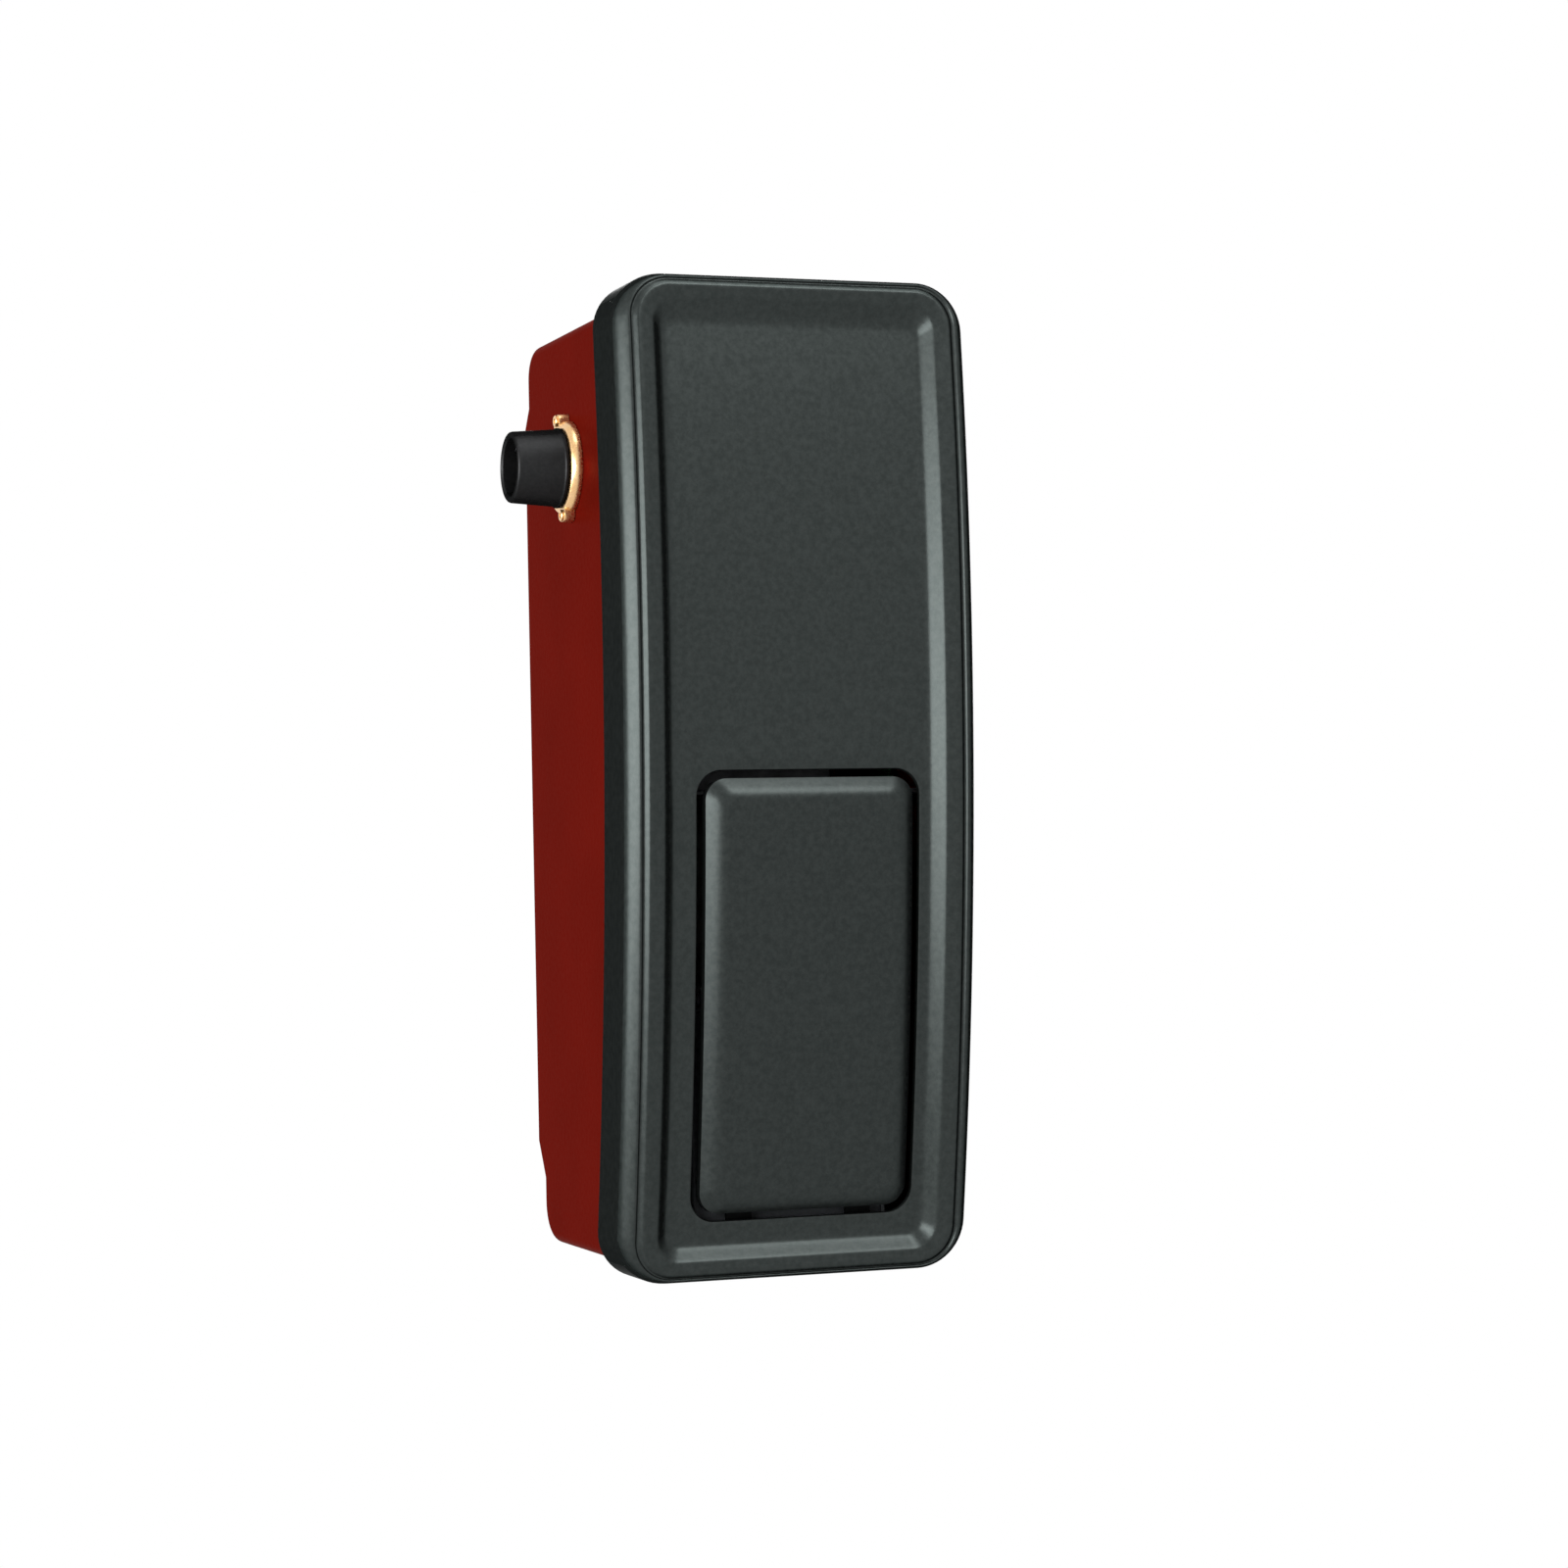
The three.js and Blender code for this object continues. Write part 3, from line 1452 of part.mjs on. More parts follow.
function transformerCoil() {
  const half = coreWidth / 2 - coreLimb / 2 - seatGap;
  const foot = transformerFoot() + coreLimb + seatGap;
  const top = transformerFoot() + coreHeight - coreLimb - seatGap;
  const coil = block([-half, coreMiddleY - coilDepth / 2, foot], [half, coreMiddleY + coilDepth / 2, top]);
  const limbX = coreLimb / 2 + seatGap;
  const limbY = coreDepth / 2 + seatGap;
  return coil.subtract(
    block([-limbX, coreMiddleY - limbY, foot - overrun], [limbX, coreMiddleY + limbY, top + overrun]),
  );
}

// Battery and its tray
function batteryTray() {
  const half = housingInner - seatGap;
  const back = trayBack;
  const roof = block([-half, trayFront, trayRoof - traySheet], [half, back, trayRoof]);
  const rear = block([-half, back - traySheet, trayFloor - traySheet], [half, back, trayRoof]);
  const floor = block([-half, trayFront, trayFloor - traySheet], [half, back, trayFloor]);
  const tabBack = rodY + springSeat;
  const tab = block(
    [rodX - springSeat, back - traySheet, trayRoof - traySheet],
    [rodX + springSeat, tabBack, trayRoof],
  );
  const rodHole = boreRadius(rodRadius, seatGap + seatGap, smallSides);
  const guide = bar(
    rodHole,
    'z',
    trayRoof - traySheet - overrun,
    trayRoof + overrun,
    [rodX, rodY],
    smallSides,
  );
  let tray = roof.add(rear).add(floor).add(tab).subtract(guide);
  for (const side of [-1, 1]) {
    const inner = side * (batteryWidth / 2 + seatGap);
    const outer = inner + side * traySheet;
    const low = [Math.min(inner, outer), trayFront, trayFloor - traySheet];
    const high = [Math.max(inner, outer), back, trayFloor + batteryHeight / 2];
    tray = tray.add(block(low, high));
  }
  const pinHole = boreRadius(pivotPinRadius, runningGap, smallSides);
  const post = bar(
    leverHub,
    'y',
    back - traySheet / 2,
    rodY - leverWidth / 2 - seatGap,
    [leverPivotX, leverPivotZ],
    plainSides,
  );
  return tray.add(post).subtract(bar(pinHole, 'y', back, rodY, [leverPivotX, leverPivotZ], smallSides));
}

function battery() {
  const half = batteryWidth / 2;
  const foot = trayFloor + seatGap;
  return block([-half, batteryFront, foot], [half, batteryBack, foot + batteryHeight]);
}

function batteryTerminal(side) {
  const x = (side * terminalSpread) / 2;
  const y = batteryFront + batteryDepth / 3;
  const foot = trayFloor + seatGap + batteryHeight + seatGap;
  return block(
    [x - terminalWidth / 2, y, foot],
    [x + terminalWidth / 2, y + terminalThickness, foot + terminalHeight],
  );
}

// Control panel on the right side
function controlPanel() {
  const radius = panelCorner;
  const outline = roundedOutline(
    panelY,
    panelWidth / 2,
    panelZ + panelHeight / 2,
    panelZ - panelHeight / 2,
    radius,
  );
  const back = housingHalf + seatGap;
  const rings = [back, back + panelThickness].map((x) => outline.map(([y, z]) => [x, y, z]));
  let panel = loft(rings, stripCap(outline.length));
  for (const { z } of buttonPlaces()) {
    const hole = boreRadius(buttonRadius, runningGap, plainSides);
    panel = panel.subtract(bar(
      hole,
      'x',
      back - overrun,
      back + panelThickness + overrun,
      [panelY, z],
      plainSides,
    ));
  }
  const hole = boreRadius(lampRadius, runningGap, smallSides);
  return panel.subtract(bar(
    hole,
    'x',
    back - overrun,
    back + panelThickness + overrun,
    [panelY, lampZ()],
    smallSides,
  ));
}

// A button: a cap in the panel and a stem through the wall, with room behind the cap for its travel
function button(z) {
  const face = housingHalf + seatGap + panelThickness + buttonProud;
  const capBack = housingHalf + seatGap + buttonTravel + runningGap;
  const stemEnd = housingInner - buttonBoardGap + seatGap + buttonTravel + runningGap;
  const cap = bar(buttonRadius, 'x', capBack, face, [panelY, z], plainSides);
  return cap.add(bar(buttonStem, 'x', stemEnd, face - buttonProud, [panelY, z], smallSides));
}

function buttonBoard() {
  const face = housingInner - buttonBoardGap;
  const half = panelWidth / 2;
  const board = block(
    [face - boardThickness, panelY - half, panelZ - panelHeight / 2],
    [face, panelY + half, panelZ + panelHeight / 2],
  );
  const posts = [-1, 1].map((side) => {
    const z = panelZ + side * (panelHeight / 2 - standoffRadius);
    return bar(
      standoffRadius,
      'x',
      face - boardThickness / 2,
      housingInner - seatGap,
      [panelY - half / 2, z],
      smallSides,
    );
  });
  return posts.reduce((all, post) => all.add(post), board);
}

function statusLamp() {
  const face = housingHalf + seatGap + panelThickness;
  return bar(
    lampRadius,
    'x',
    housingInner - buttonBoardGap + seatGap,
    face + lampProud,
    [panelY, lampZ()],
    smallSides,
  );
}

function terminalBlock() {
  const halfWidth = terminalBlockWidth / 2;
  const halfHeight = terminalBlockHeight / 2;
  const face = housingHalf + terminalBlockProud;
  const body = block(
    [housingInner - terminalBlockProud, terminalBlockY - halfWidth, terminalBlockZ - halfHeight],
    [face, terminalBlockY + halfWidth, terminalBlockZ + halfHeight],
  );
  const lip = block(
    [
      housingHalf + seatGap,
      terminalBlockY - halfWidth - terminalLip,
      terminalBlockZ - halfHeight - terminalLip,
    ],
    [
      housingHalf + terminalBlockProud / 3,
      terminalBlockY + halfWidth + terminalLip,
      terminalBlockZ + halfHeight + terminalLip,
    ],
  );
  let whole = body.add(lip);
  for (let i = 0; i < terminalCount; i += 1) {
    const z = terminalBlockZ + (terminalBlockHeight / terminalCount) * (i + 1 / 2 - terminalCount / 2);
    whole = whole.subtract(bar(
      wireHoleRadius,
      'x',
      face - wireHoleDepth,
      face + overrun,
      [terminalBlockY, z],
      smallSides,
    ));
  }
  return whole;
}

// Cord gland: a neck through the bottom with a flared body below and a nut inside
function cordGland() {
  const under = housingBottom - seatGap;
  const above = housingBottom + housingWall + seatGap;
  return turnedZ(
    [
      [above + glandInside, glandBore],
      [above + glandInside, glandNeck],
      [above + glandInside / 2, glandNeck],
      [above + glandInside / 2, glandRadius],
      [above, glandRadius],
      [above, glandNeck],
      [under, glandNeck],
      [under, glandRadius],
      [under - glandDrop / 3, glandRadius],
      [under - glandDrop, glandNeck],
      [under - glandDrop, glandBore],
    ],
    plainSides,
    glandX,
    glandY,
  );
}

// Finishes
function finish(color, roughness, metalness) {
  return new THREE.MeshStandardMaterial({ color, roughness, metalness });
}

const blackPlastic = finish(0x383c3b, 0.5, 0);
const redPaint = finish(0x7a1a12, 0.4, 0);
const blackSteel = finish(0x1d1e20, 0.4, 0.7);
const yellowZinc = finish(0xc79a5b, 0.3, 1);
const zincSteel = finish(0xb9bcbd, 0.35, 1);
const castAluminium = finish(0x9b9d9c, 0.55, 0.9);
const bronze = finish(0xa9793f, 0.4, 1);
const wheelBronze = finish(0xb98a45, 0.4, 1);
const motorSteel = finish(0x6f7375, 0.4, 0.9);
const capPlastic = finish(0x222426, 0.6, 0);
const boardGreen = finish(0x1f5a38, 0.5, 0);
const relayBlue = finish(0x2b57a0, 0.5, 0);
const coreSteel = finish(0x55585a, 0.6, 0.8);
const coilYellow = finish(0xc8a53a, 0.6, 0);
const batteryGrey = finish(0x3d4043, 0.6, 0);
const galvanised = finish(0xa9adae, 0.5, 0.8);
const panelGrey = finish(0x2a2d2e, 0.5, 0);
const buttonBlack = finish(0x151617, 0.5, 0);
const buttonYellow = finish(0xe3b51c, 0.5, 0);
const lampGreen = finish(0x5fd08a, 0.2, 0);
const terminalWhite = finish(0xd9d9d2, 0.5, 0);
const rubberBlack = finish(0x161616, 0.8, 0);

const group = new THREE.Group();

function add(name, solid, material) {
  const mesh = new THREE.Mesh(geometryOf(solid), material);
  mesh.name = name;
  group.add(mesh);
}

add('rear_housing', rearHousing(), redPaint);
add('front_cover', frontCover(), blackPlastic);
add('battery_door', batteryDoor(), blackPlastic);
coverScrewPlaces().forEach(([x, z], i) => add(`cover_screw_${i + 1}`, coverScrew(x, z), zincSteel));

for (const [side, name] of [[-1, 'left'], [1, 'right']]) {
  add(`retainer_${name}`, retainer(side), yellowZinc);
  earPlaces().forEach((place, i) => add(
    `retainer_screw_${name}_${i + 1}`,
    retainerScrew(side, place),
    yellowZinc,
  ));
  add(`bearing_block_${name}`, bearingBlock(side), castAluminium);
  add(`bearing_bush_${name}`, bearingBush(side), bronze);
}

add('output_shaft', outputShaft(), blackSteel);
add('shaft_collar', shaftCollar(), blackSteel);
setScrewTilts.forEach((tilt, i) => add(`set_screw_${i + 1}`, setScrew(tilt), blackSteel));
add('worm_wheel', wormWheel(), wheelBronze);
add('clutch_ring', clutchRing(), zincSteel);
add('shift_fork', shiftFork(), zincSteel);
add('fork_pin', forkPivotPin(), zincSteel);
add('release_rod', releaseRod(), zincSteel);
add('rod_spring', rodSpring(), zincSteel);
add('release_lever', releaseLever(), zincSteel);
add('lever_pin', leverPin(), zincSteel);

add('gear_bracket', gearBracket(), castAluminium);
add('worm_bush_upper', lugBush(upperLug), bronze);
add('worm_bush_lower', lugBush(lowerLug), bronze);
add('worm_shaft', wormShaft(), zincSteel);
add('rotor_core', rotorCore(), coreSteel);
add('motor_can', motorCan(), motorSteel);
add('motor_end_cap', motorEndCap(), capPlastic);
motorScrewPlaces().forEach((place, i) => add(`motor_screw_${i + 1}`, motorScrew(place), zincSteel));

add('sensor_gear', sensorGear(), capPlastic);
add('sensor_pinion', sensorPinion(), terminalWhite);
add('travel_sensor', travelSensor(), capPlastic);

add('board_carrier', boardCarrier(), capPlastic);
add('logic_board', logicBoard(), boardGreen);
add('relay', relay(), relayBlue);
add('capacitor', capacitor(), relayBlue);
add('transformer_core', transformerCore(), coreSteel);
add('transformer_coil', transformerCoil(), coilYellow);
add('battery_tray', batteryTray(), galvanised);
add('battery', battery(), batteryGrey);
add('battery_terminal_left', batteryTerminal(-1), zincSteel);
add('battery_terminal_right', batteryTerminal(1), zincSteel);

add('control_panel', controlPanel(), panelGrey);
add('button_board', buttonBoard(), boardGreen);
for (const { name, z } of buttonPlaces()) {
  add(name, button(z), name === 'learn_button' ? buttonYellow : buttonBlack);
}
add('status_lamp', statusLamp(), lampGreen);
add('terminal_block', terminalBlock(), terminalWhite);
add('cord_gland', cordGland(), rubberBlack);

export default group;
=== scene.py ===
import math

import bmesh
import bpy
from mathutils import Matrix, Vector


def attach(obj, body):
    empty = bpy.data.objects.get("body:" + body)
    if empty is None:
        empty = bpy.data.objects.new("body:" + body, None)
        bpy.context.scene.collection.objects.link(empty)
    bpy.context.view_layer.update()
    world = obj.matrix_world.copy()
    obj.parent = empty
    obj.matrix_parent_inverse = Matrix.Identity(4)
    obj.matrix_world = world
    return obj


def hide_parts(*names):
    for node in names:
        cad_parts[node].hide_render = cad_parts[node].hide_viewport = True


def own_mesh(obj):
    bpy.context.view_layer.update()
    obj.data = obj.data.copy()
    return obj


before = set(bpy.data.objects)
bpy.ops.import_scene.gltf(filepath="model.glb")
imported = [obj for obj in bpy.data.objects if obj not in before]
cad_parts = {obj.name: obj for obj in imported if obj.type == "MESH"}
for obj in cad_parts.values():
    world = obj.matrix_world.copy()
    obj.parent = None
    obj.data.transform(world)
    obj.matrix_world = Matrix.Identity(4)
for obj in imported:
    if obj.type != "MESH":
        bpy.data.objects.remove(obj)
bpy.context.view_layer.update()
print("frame loaded:", len(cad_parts), "nodes")


# small helpers for meshes

mergeDistance = 0.000001  # points nearer than this are one
poleRadius = 0.00001  # closes a turned shape at its axis


def camelName(node):
    first, *rest = node.split("_")
    return first + "".join(word.title() for word in rest)


def addObject(name, data):
    piece = bpy.data.objects.new(name, data)
    bpy.context.collection.objects.link(piece)
    return piece


def soften(piece, sharpAngle=32):
    piece.data.shade_smooth()
    piece.data.set_sharp_from_angle(angle=math.radians(sharpAngle))
    return piece


def meshPiece(name, verts, faces):
    mesh = bpy.data.meshes.new(name)
    mesh.from_pydata([tuple(v) for v in verts], [], faces)
    mesh.validate()
    return soften(addObject(name, mesh))


def faceOutwards(piece, flatAngle=0):
    # merges doubles, joins flat neighbours if asked, then turns every face of the closed mesh outwards
    work = bmesh.new()
    work.from_mesh(piece.data)
    bmesh.ops.remove_doubles(work, verts=work.verts, dist=mergeDistance)
    if flatAngle:
        limit = math.radians(flatAngle)
        bmesh.ops.dissolve_limit(work, angle_limit=limit, verts=work.verts, edges=work.edges)
    bmesh.ops.recalc_face_normals(work, faces=work.faces)
    work.to_mesh(piece.data)
    work.free()
    return piece


def closedPiece(name, verts, faces, sharpAngle=32):
    return soften(faceOutwards(meshPiece(name, verts, faces)), sharpAngle)


def plainMesh(piece):
    # the result of the modifiers becomes the piece's own mesh
    bpy.context.view_layer.update()
    graph = bpy.context.evaluated_depsgraph_get()
    mesh = bpy.data.meshes.new_from_object(piece.evaluated_get(graph), depsgraph=graph)
    piece.modifiers.clear()
    piece.data = mesh
    return piece


def ringBand(rings, closed=False):
    # verts and quads over rings that all have the same number of points
    count = len(rings[0])
    verts = [point for ring in rings for point in ring]
    faces = []
    steps = len(rings) if closed else len(rings) - 1
    for r in range(steps):
        a = r * count
        b = ((r + 1) % len(rings)) * count
        for i in range(count):
            j = (i + 1) % count
            faces.append((a + i, a + j, b + j, b + i))
    return verts, faces


def capped(name, rings):
    # a closed shape over rings, with a face at each end
    verts, faces = ringBand(rings)
    count = len(rings[0])
    faces += [tuple(range(count)), tuple(range(len(verts) - count, len(verts)))]
    return closedPiece(name, verts, faces)


def circle(radius, sides):
    angles = [2 * math.pi * i / sides for i in range(sides)]
    return [(radius * math.cos(a), radius * math.sin(a)) for a in angles]


def turned(name, profile, sides, sharpAngle=32, axis="X", centre=(0, 0, 0)):
    # a closed turned shape about an axis, from a closed profile of (place along, radius)
    rings = []
    for along, radius in profile:
        ring = []
        for u, v in circle(radius, sides):
            point = {"X": (along, u, v), "Y": (v, along, u), "Z": (u, v, along)}[axis]
            ring.append(Vector(point) + Vector(centre))
        rings.append(ring)
    verts, faces = ringBand(rings, closed=True)
    return closedPiece(name, verts, faces, sharpAngle)


def rod(name, radius, start, end, sides=32):
    # a plain bar between two points, round or with few sides
    start, end = Vector(start), Vector(end)
    turn = (end - start).to_track_quat("Z", "Y")
    flat = [turn @ Vector((u, v, 0)) for u, v in circle(radius, sides)]
    verts, faces = ringBand([[spot + point for point in flat] for spot in (start, end)])
    faces += [tuple(reversed(range(sides))), tuple(range(sides, 2 * sides))]
    return closedPiece(name, verts, faces)


def slab(name, low, high):
    corners = [(x, y, z) for x in (low[0], high[0]) for y in (low[1], high[1]) for z in (low[2], high[2])]
    faces = [(0, 1, 3, 2), (4, 6, 7, 5), (0, 4, 5, 1), (2, 3, 7, 6), (0, 2, 6, 4), (1, 5, 7, 3)]
    return closedPiece(name, corners, faces)


def prismX(name, outline, low, high):
    # an outline in Y and Z between two places along X
    return capped(name, [[(x, y, z) for y, z in outline] for x in (low, high)])


def combine(piece, other, how):
    step = piece.modifiers.new("combine", "BOOLEAN")
    step.operation = how
    step.solver = "EXACT"
    step.object = other
    plainMesh(piece)
    bpy.data.objects.remove(other)
    return piece


def cut(piece, cutter):
    return combine(piece, cutter, "DIFFERENCE")


def drill(piece, radius, start, end, sides=32):
    return cut(piece, rod("drill", radius, start, end, sides))


def addMesh(piece, *others):
    # several closed shapes in one mesh
    work = bmesh.new()
    work.from_mesh(piece.data)
    for other in others:
        work.from_mesh(other.data)
        bpy.data.objects.remove(other)
    work.to_mesh(piece.data)
    work.free()
    return piece


def roundEdges(piece, width, segments=2, angle=35, sharpAngle=50):
    step = piece.modifiers.new("edges", "BEVEL")
    step.width = width
    step.segments = segments
    step.limit_method = "ANGLE"
    step.angle_limit = math.radians(angle)
    step.miter_outer = "MITER_ARC"
    return soften(plainMesh(piece), sharpAngle)


def evenNormals(piece):
    # the large faces lead the normals, so that flats stay flat beside their rounded edges
    step = piece.modifiers.new("normals", "WEIGHTED_NORMAL")
    step.keep_sharp = True
    return plainMesh(piece)


def smoothCurve(rows, steps):
    # a smooth curve led by rows of numbers, with so many steps for each row
    padded = [rows[0], rows[0], *rows, rows[-1], rows[-1]]
    result = []
    for i in range(len(padded) - 3):
        columns = list(zip(*padded[i:i + 4]))
        for s in range(steps):
            t = s / steps
            weights = ((1 - t) ** 3 / 6, (3 * t ** 3 - 6 * t * t + 4) / 6,
                       (-3 * t ** 3 + 3 * t * t + 3 * t + 1) / 6, t ** 3 / 6)
            result.append([sum(w * value for w, value in zip(weights, column)) for column in columns])
    result.append(list(rows[-1]))
    return result


def quarterAngles(steps):
    return [math.pi / 2 * i / steps for i in range(steps + 1)]


def rotated(points, angle):
    # points in (across, up), turned clockwise
    c, s = math.cos(angle), math.sin(angle)
    return [(u * c + v * s, -u * s + v * c) for u, v in points]


def roundedOutline(centreX, halfWidth, top, bottom, radius, cornerSteps, sideSteps):
    # a rounded rectangle in X and Z, down the right side and up the left
    flat, angles = halfWidth - radius, quarterAngles(cornerSteps)
    half = [(flat + radius * math.sin(a), top - radius + radius * math.cos(a)) for a in angles]
    for i in range(1, sideSteps):
        half.append((halfWidth, top - radius - (top - bottom - 2 * radius) * i / sideSteps))
    half += [(flat + radius * math.cos(a), bottom + radius - radius * math.sin(a)) for a in angles]
    return [(centreX + x, z) for x, z in half] + [(centreX - x, z) for x, z in reversed(half)]


# helpers for Geometry Nodes

def startTree(name, sizes):
    # a node group with one named input for each size
    tree = bpy.data.node_groups.new(name, "GeometryNodeTree")
    tree.interface.new_socket("Geometry", in_out="INPUT", socket_type="NodeSocketGeometry")
    for label, value in sizes.items():
        kind = {int: "NodeSocketInt", float: "NodeSocketFloat"}.get(type(value), "NodeSocketMaterial")
        tree.interface.new_socket(label, in_out="INPUT", socket_type=kind)
    tree.interface.new_socket("Geometry", in_out="OUTPUT", socket_type="NodeSocketGeometry")
    return tree, tree.nodes.new("NodeGroupInput").outputs


def nodeStep(tree, kind, inputs, **settings):
    # adds one node, links or sets its inputs and gives back its first output
    node = tree.nodes.new(kind)
    for label, value in settings.items():
        setattr(node, label, value)
    for label, value in inputs.items():
        if isinstance(value, bpy.types.NodeSocket):
            tree.links.new(value, node.inputs[label])
        else:
            node.inputs[label].default_value = value
    return node.outputs[0]


def sumOf(tree, first, second, factor=1.0):
    # first + second * factor
    return nodeStep(tree, "ShaderNodeMath", {0: second, 1: factor, 2: first}, operation="MULTIPLY_ADD")


def movedUp(tree, geometry, height):
    offset = nodeStep(tree, "ShaderNodeCombineXYZ", {"Z": height})
    return nodeStep(tree, "GeometryNodeTransform", {"Geometry": geometry, "Translation": offset})


def placedOn(tree, given, shape):
    # one instance on each point, turned so that it looks along the point's "out" vector
    out = nodeStep(tree, "GeometryNodeInputNamedAttribute", {"Name": "out"}, data_type="FLOAT_VECTOR")
    turn = nodeStep(tree, "FunctionNodeAlignRotationToVector", {"Vector": out}, axis="Z")
    return nodeStep(tree, "GeometryNodeInstanceOnPoints",
                    {"Points": given["Geometry"], "Instance": shape, "Rotation": turn})


def finishTree(tree, given, geometry):
    whole = nodeStep(tree, "GeometryNodeRealizeInstances", {"Geometry": geometry})
    dressed = nodeStep(tree, "GeometryNodeSetMaterial", {"Geometry": whole, "Material": given["Material"]})
    tree.links.new(dressed, tree.nodes.new("NodeGroupOutput").inputs["Geometry"])
    return tree


def pointsPiece(name, places):
    # a mesh of loose points, each with the direction that its instance looks along
    mesh = bpy.data.meshes.new(name)
    mesh.from_pydata([tuple(place) for place, out in places], [], [])
    outs = mesh.attributes.new("out", "FLOAT_VECTOR", "POINT")
    for i, (place, out) in enumerate(places):
        outs.data[i].vector = out
    return addObject(name, mesh)


def grown(piece, tree, sizes, sharpAngle=32):
    # runs the tree on the piece, and the result becomes its mesh
    step = piece.modifiers.new(tree.name, "NODES")
    step.node_group = tree
    for item in tree.interface.items_tree:
        if item.in_out == "INPUT" and item.name in sizes:
            step[item.identifier] = sizes[item.name]
    plainMesh(piece)
    attributes = piece.data.attributes
    if "out" in attributes:
        attributes.remove(attributes["out"])
    return soften(piece, sharpAngle)


def barTree(name, sizes):
    # one bar on each point
    tree, given = startTree(name, sizes)
    size = nodeStep(tree, "ShaderNodeCombineXYZ",
                    {"X": given["Width"], "Y": given["Depth"], "Z": given["Thickness"]})
    bar = nodeStep(tree, "GeometryNodeMeshCube", {"Size": size})
    bars = nodeStep(tree, "GeometryNodeInstanceOnPoints", {"Points": given["Geometry"], "Instance": bar})
    return finishTree(tree, given, bars)


def barsAt(name, places, size, material):
    sizes = {"Width": size[0], "Depth": size[1], "Thickness": size[2], "Material": material}
    upright = (0, 0, 1)
    return grown(pointsPiece(name, [(place, upright) for place in places]), barTree(name, sizes), sizes)


# camera at the photograph's angle

cameraSizes = {
    "place": (-0.5412, -1.5554, -0.1818),
    "right": (0.9403, -0.3397, -0.0209),
    "up": (0.0119, -0.0286, 0.9995),
    "lens": 82.4,
    "sensor": 36,
}


def makeCamera(sizes):
    data = bpy.data.cameras.new("camera")
    data.lens = sizes["lens"]
    data.sensor_width = sizes["sensor"]
    camera = addObject("camera", data)
    right, up = Vector(sizes["right"]).normalized(), Vector(sizes["up"]).normalized()
    back = right.cross(up).normalized()
    up = back.cross(right)
    turn = Matrix((right, up, back)).transposed()
    camera.matrix_world = Matrix.Translation(sizes["place"]) @ turn.to_4x4()
    bpy.context.scene.camera = camera


makeCamera(cameraSizes)
bpy.context.scene.view_settings.view_transform = "Standard"
print("camera ready")


# materials

def startMaterial(name, color, roughness, metallic=0.0, specular=0.5):
    material = bpy.data.materials.new(name)
    material.use_nodes = True
    tree = material.node_tree
    shader = tree.nodes["Principled BSDF"]
    shader.inputs["Base Color"].default_value = (*color, 1)
    shader.inputs["Roughness"].default_value = roughness
    shader.inputs["Metallic"].default_value = metallic
    shader.inputs["Specular IOR Level"].default_value = specular
    coords = tree.nodes.new("ShaderNodeTexCoord").outputs["Object"]
    return material, tree, shader, coords


def mapped(tree, coords, label, value):
    mapping = tree.nodes.new("ShaderNodeMapping")
    mapping.inputs[label].default_value = value
    tree.links.new(coords, mapping.inputs["Vector"])
    return mapping.outputs["Vector"]


def noise(tree, coords, scale, detail=3.0, roughness=0.55):
    node = tree.nodes.new("ShaderNodeTexNoise")
    node.inputs["Scale"].default_value = scale
    node.inputs["Detail"].default_value = detail
    node.inputs["Roughness"].default_value = roughness
    tree.links.new(coords, node.inputs["Vector"])
    return node.outputs["Fac"]


def cells(tree, coords, scale):
    node = tree.nodes.new("ShaderNodeTexVoronoi")
    node.feature = "SMOOTH_F1"
    node.inputs["Scale"].default_value = scale
    tree.links.new(coords, node.inputs["Vector"])
    return node.outputs["Distance"]


def spread(tree, value, low=0.0, high=1.0, fromLow=0.3, fromHigh=0.7):
    # remaps a noise value to a range
    node = tree.nodes.new("ShaderNodeMapRange")
    node.inputs["From Min"].default_value = fromLow
    node.inputs["From Max"].default_value = fromHigh
    node.inputs["To Min"].default_value = low
    node.inputs["To Max"].default_value = high
    tree.links.new(value, node.inputs["Value"])
    return node.outputs["Result"]


def addUp(tree, first, second, weight):
    node = tree.nodes.new("ShaderNodeMath")
    node.operation = "MULTIPLY_ADD"
    tree.links.new(second, node.inputs[0])
    node.inputs[1].default_value = weight
    tree.links.new(first, node.inputs[2])
    return node.outputs["Value"]


def twoTones(tree, shader, factor, color, second):
    node = tree.nodes.new("ShaderNodeMix")
    node.data_type = "RGBA"
    tree.links.new(factor, node.inputs["Factor"])
    node.inputs["A"].default_value = (*color, 1)
    node.inputs["B"].default_value = (*second, 1)
    tree.links.new(node.outputs["Result"], shader.inputs["Base Color"])


def unevenGloss(tree, shader, value, low, high, **ends):
    tree.links.new(spread(tree, value, low, high, **ends), shader.inputs["Roughness"])


def bump(tree, shader, height, strength, depth):
    node = tree.nodes.new("ShaderNodeBump")
    node.inputs["Strength"].default_value = strength
    node.inputs["Distance"].default_value = depth
    tree.links.new(height, node.inputs["Height"])
    tree.links.new(node.outputs["Normal"], shader.inputs["Normal"])


def pebbled(tree, shader, coords, color, lighter, grain, depth, strength, patchShare):
    # a pebbled grain with small changes of tone; gives back the patches
    fine = noise(tree, coords, grain * 2.3, detail=2.0)
    bump(tree, shader, addUp(tree, cells(tree, coords, grain), fine, weight=0.35), strength, depth)
    patches = noise(tree, coords, grain * patchShare, detail=4.0, roughness=0.7)
    twoTones(tree, shader, spread(tree, patches, fromLow=0.36, fromHigh=0.64), color, lighter)
    return patches


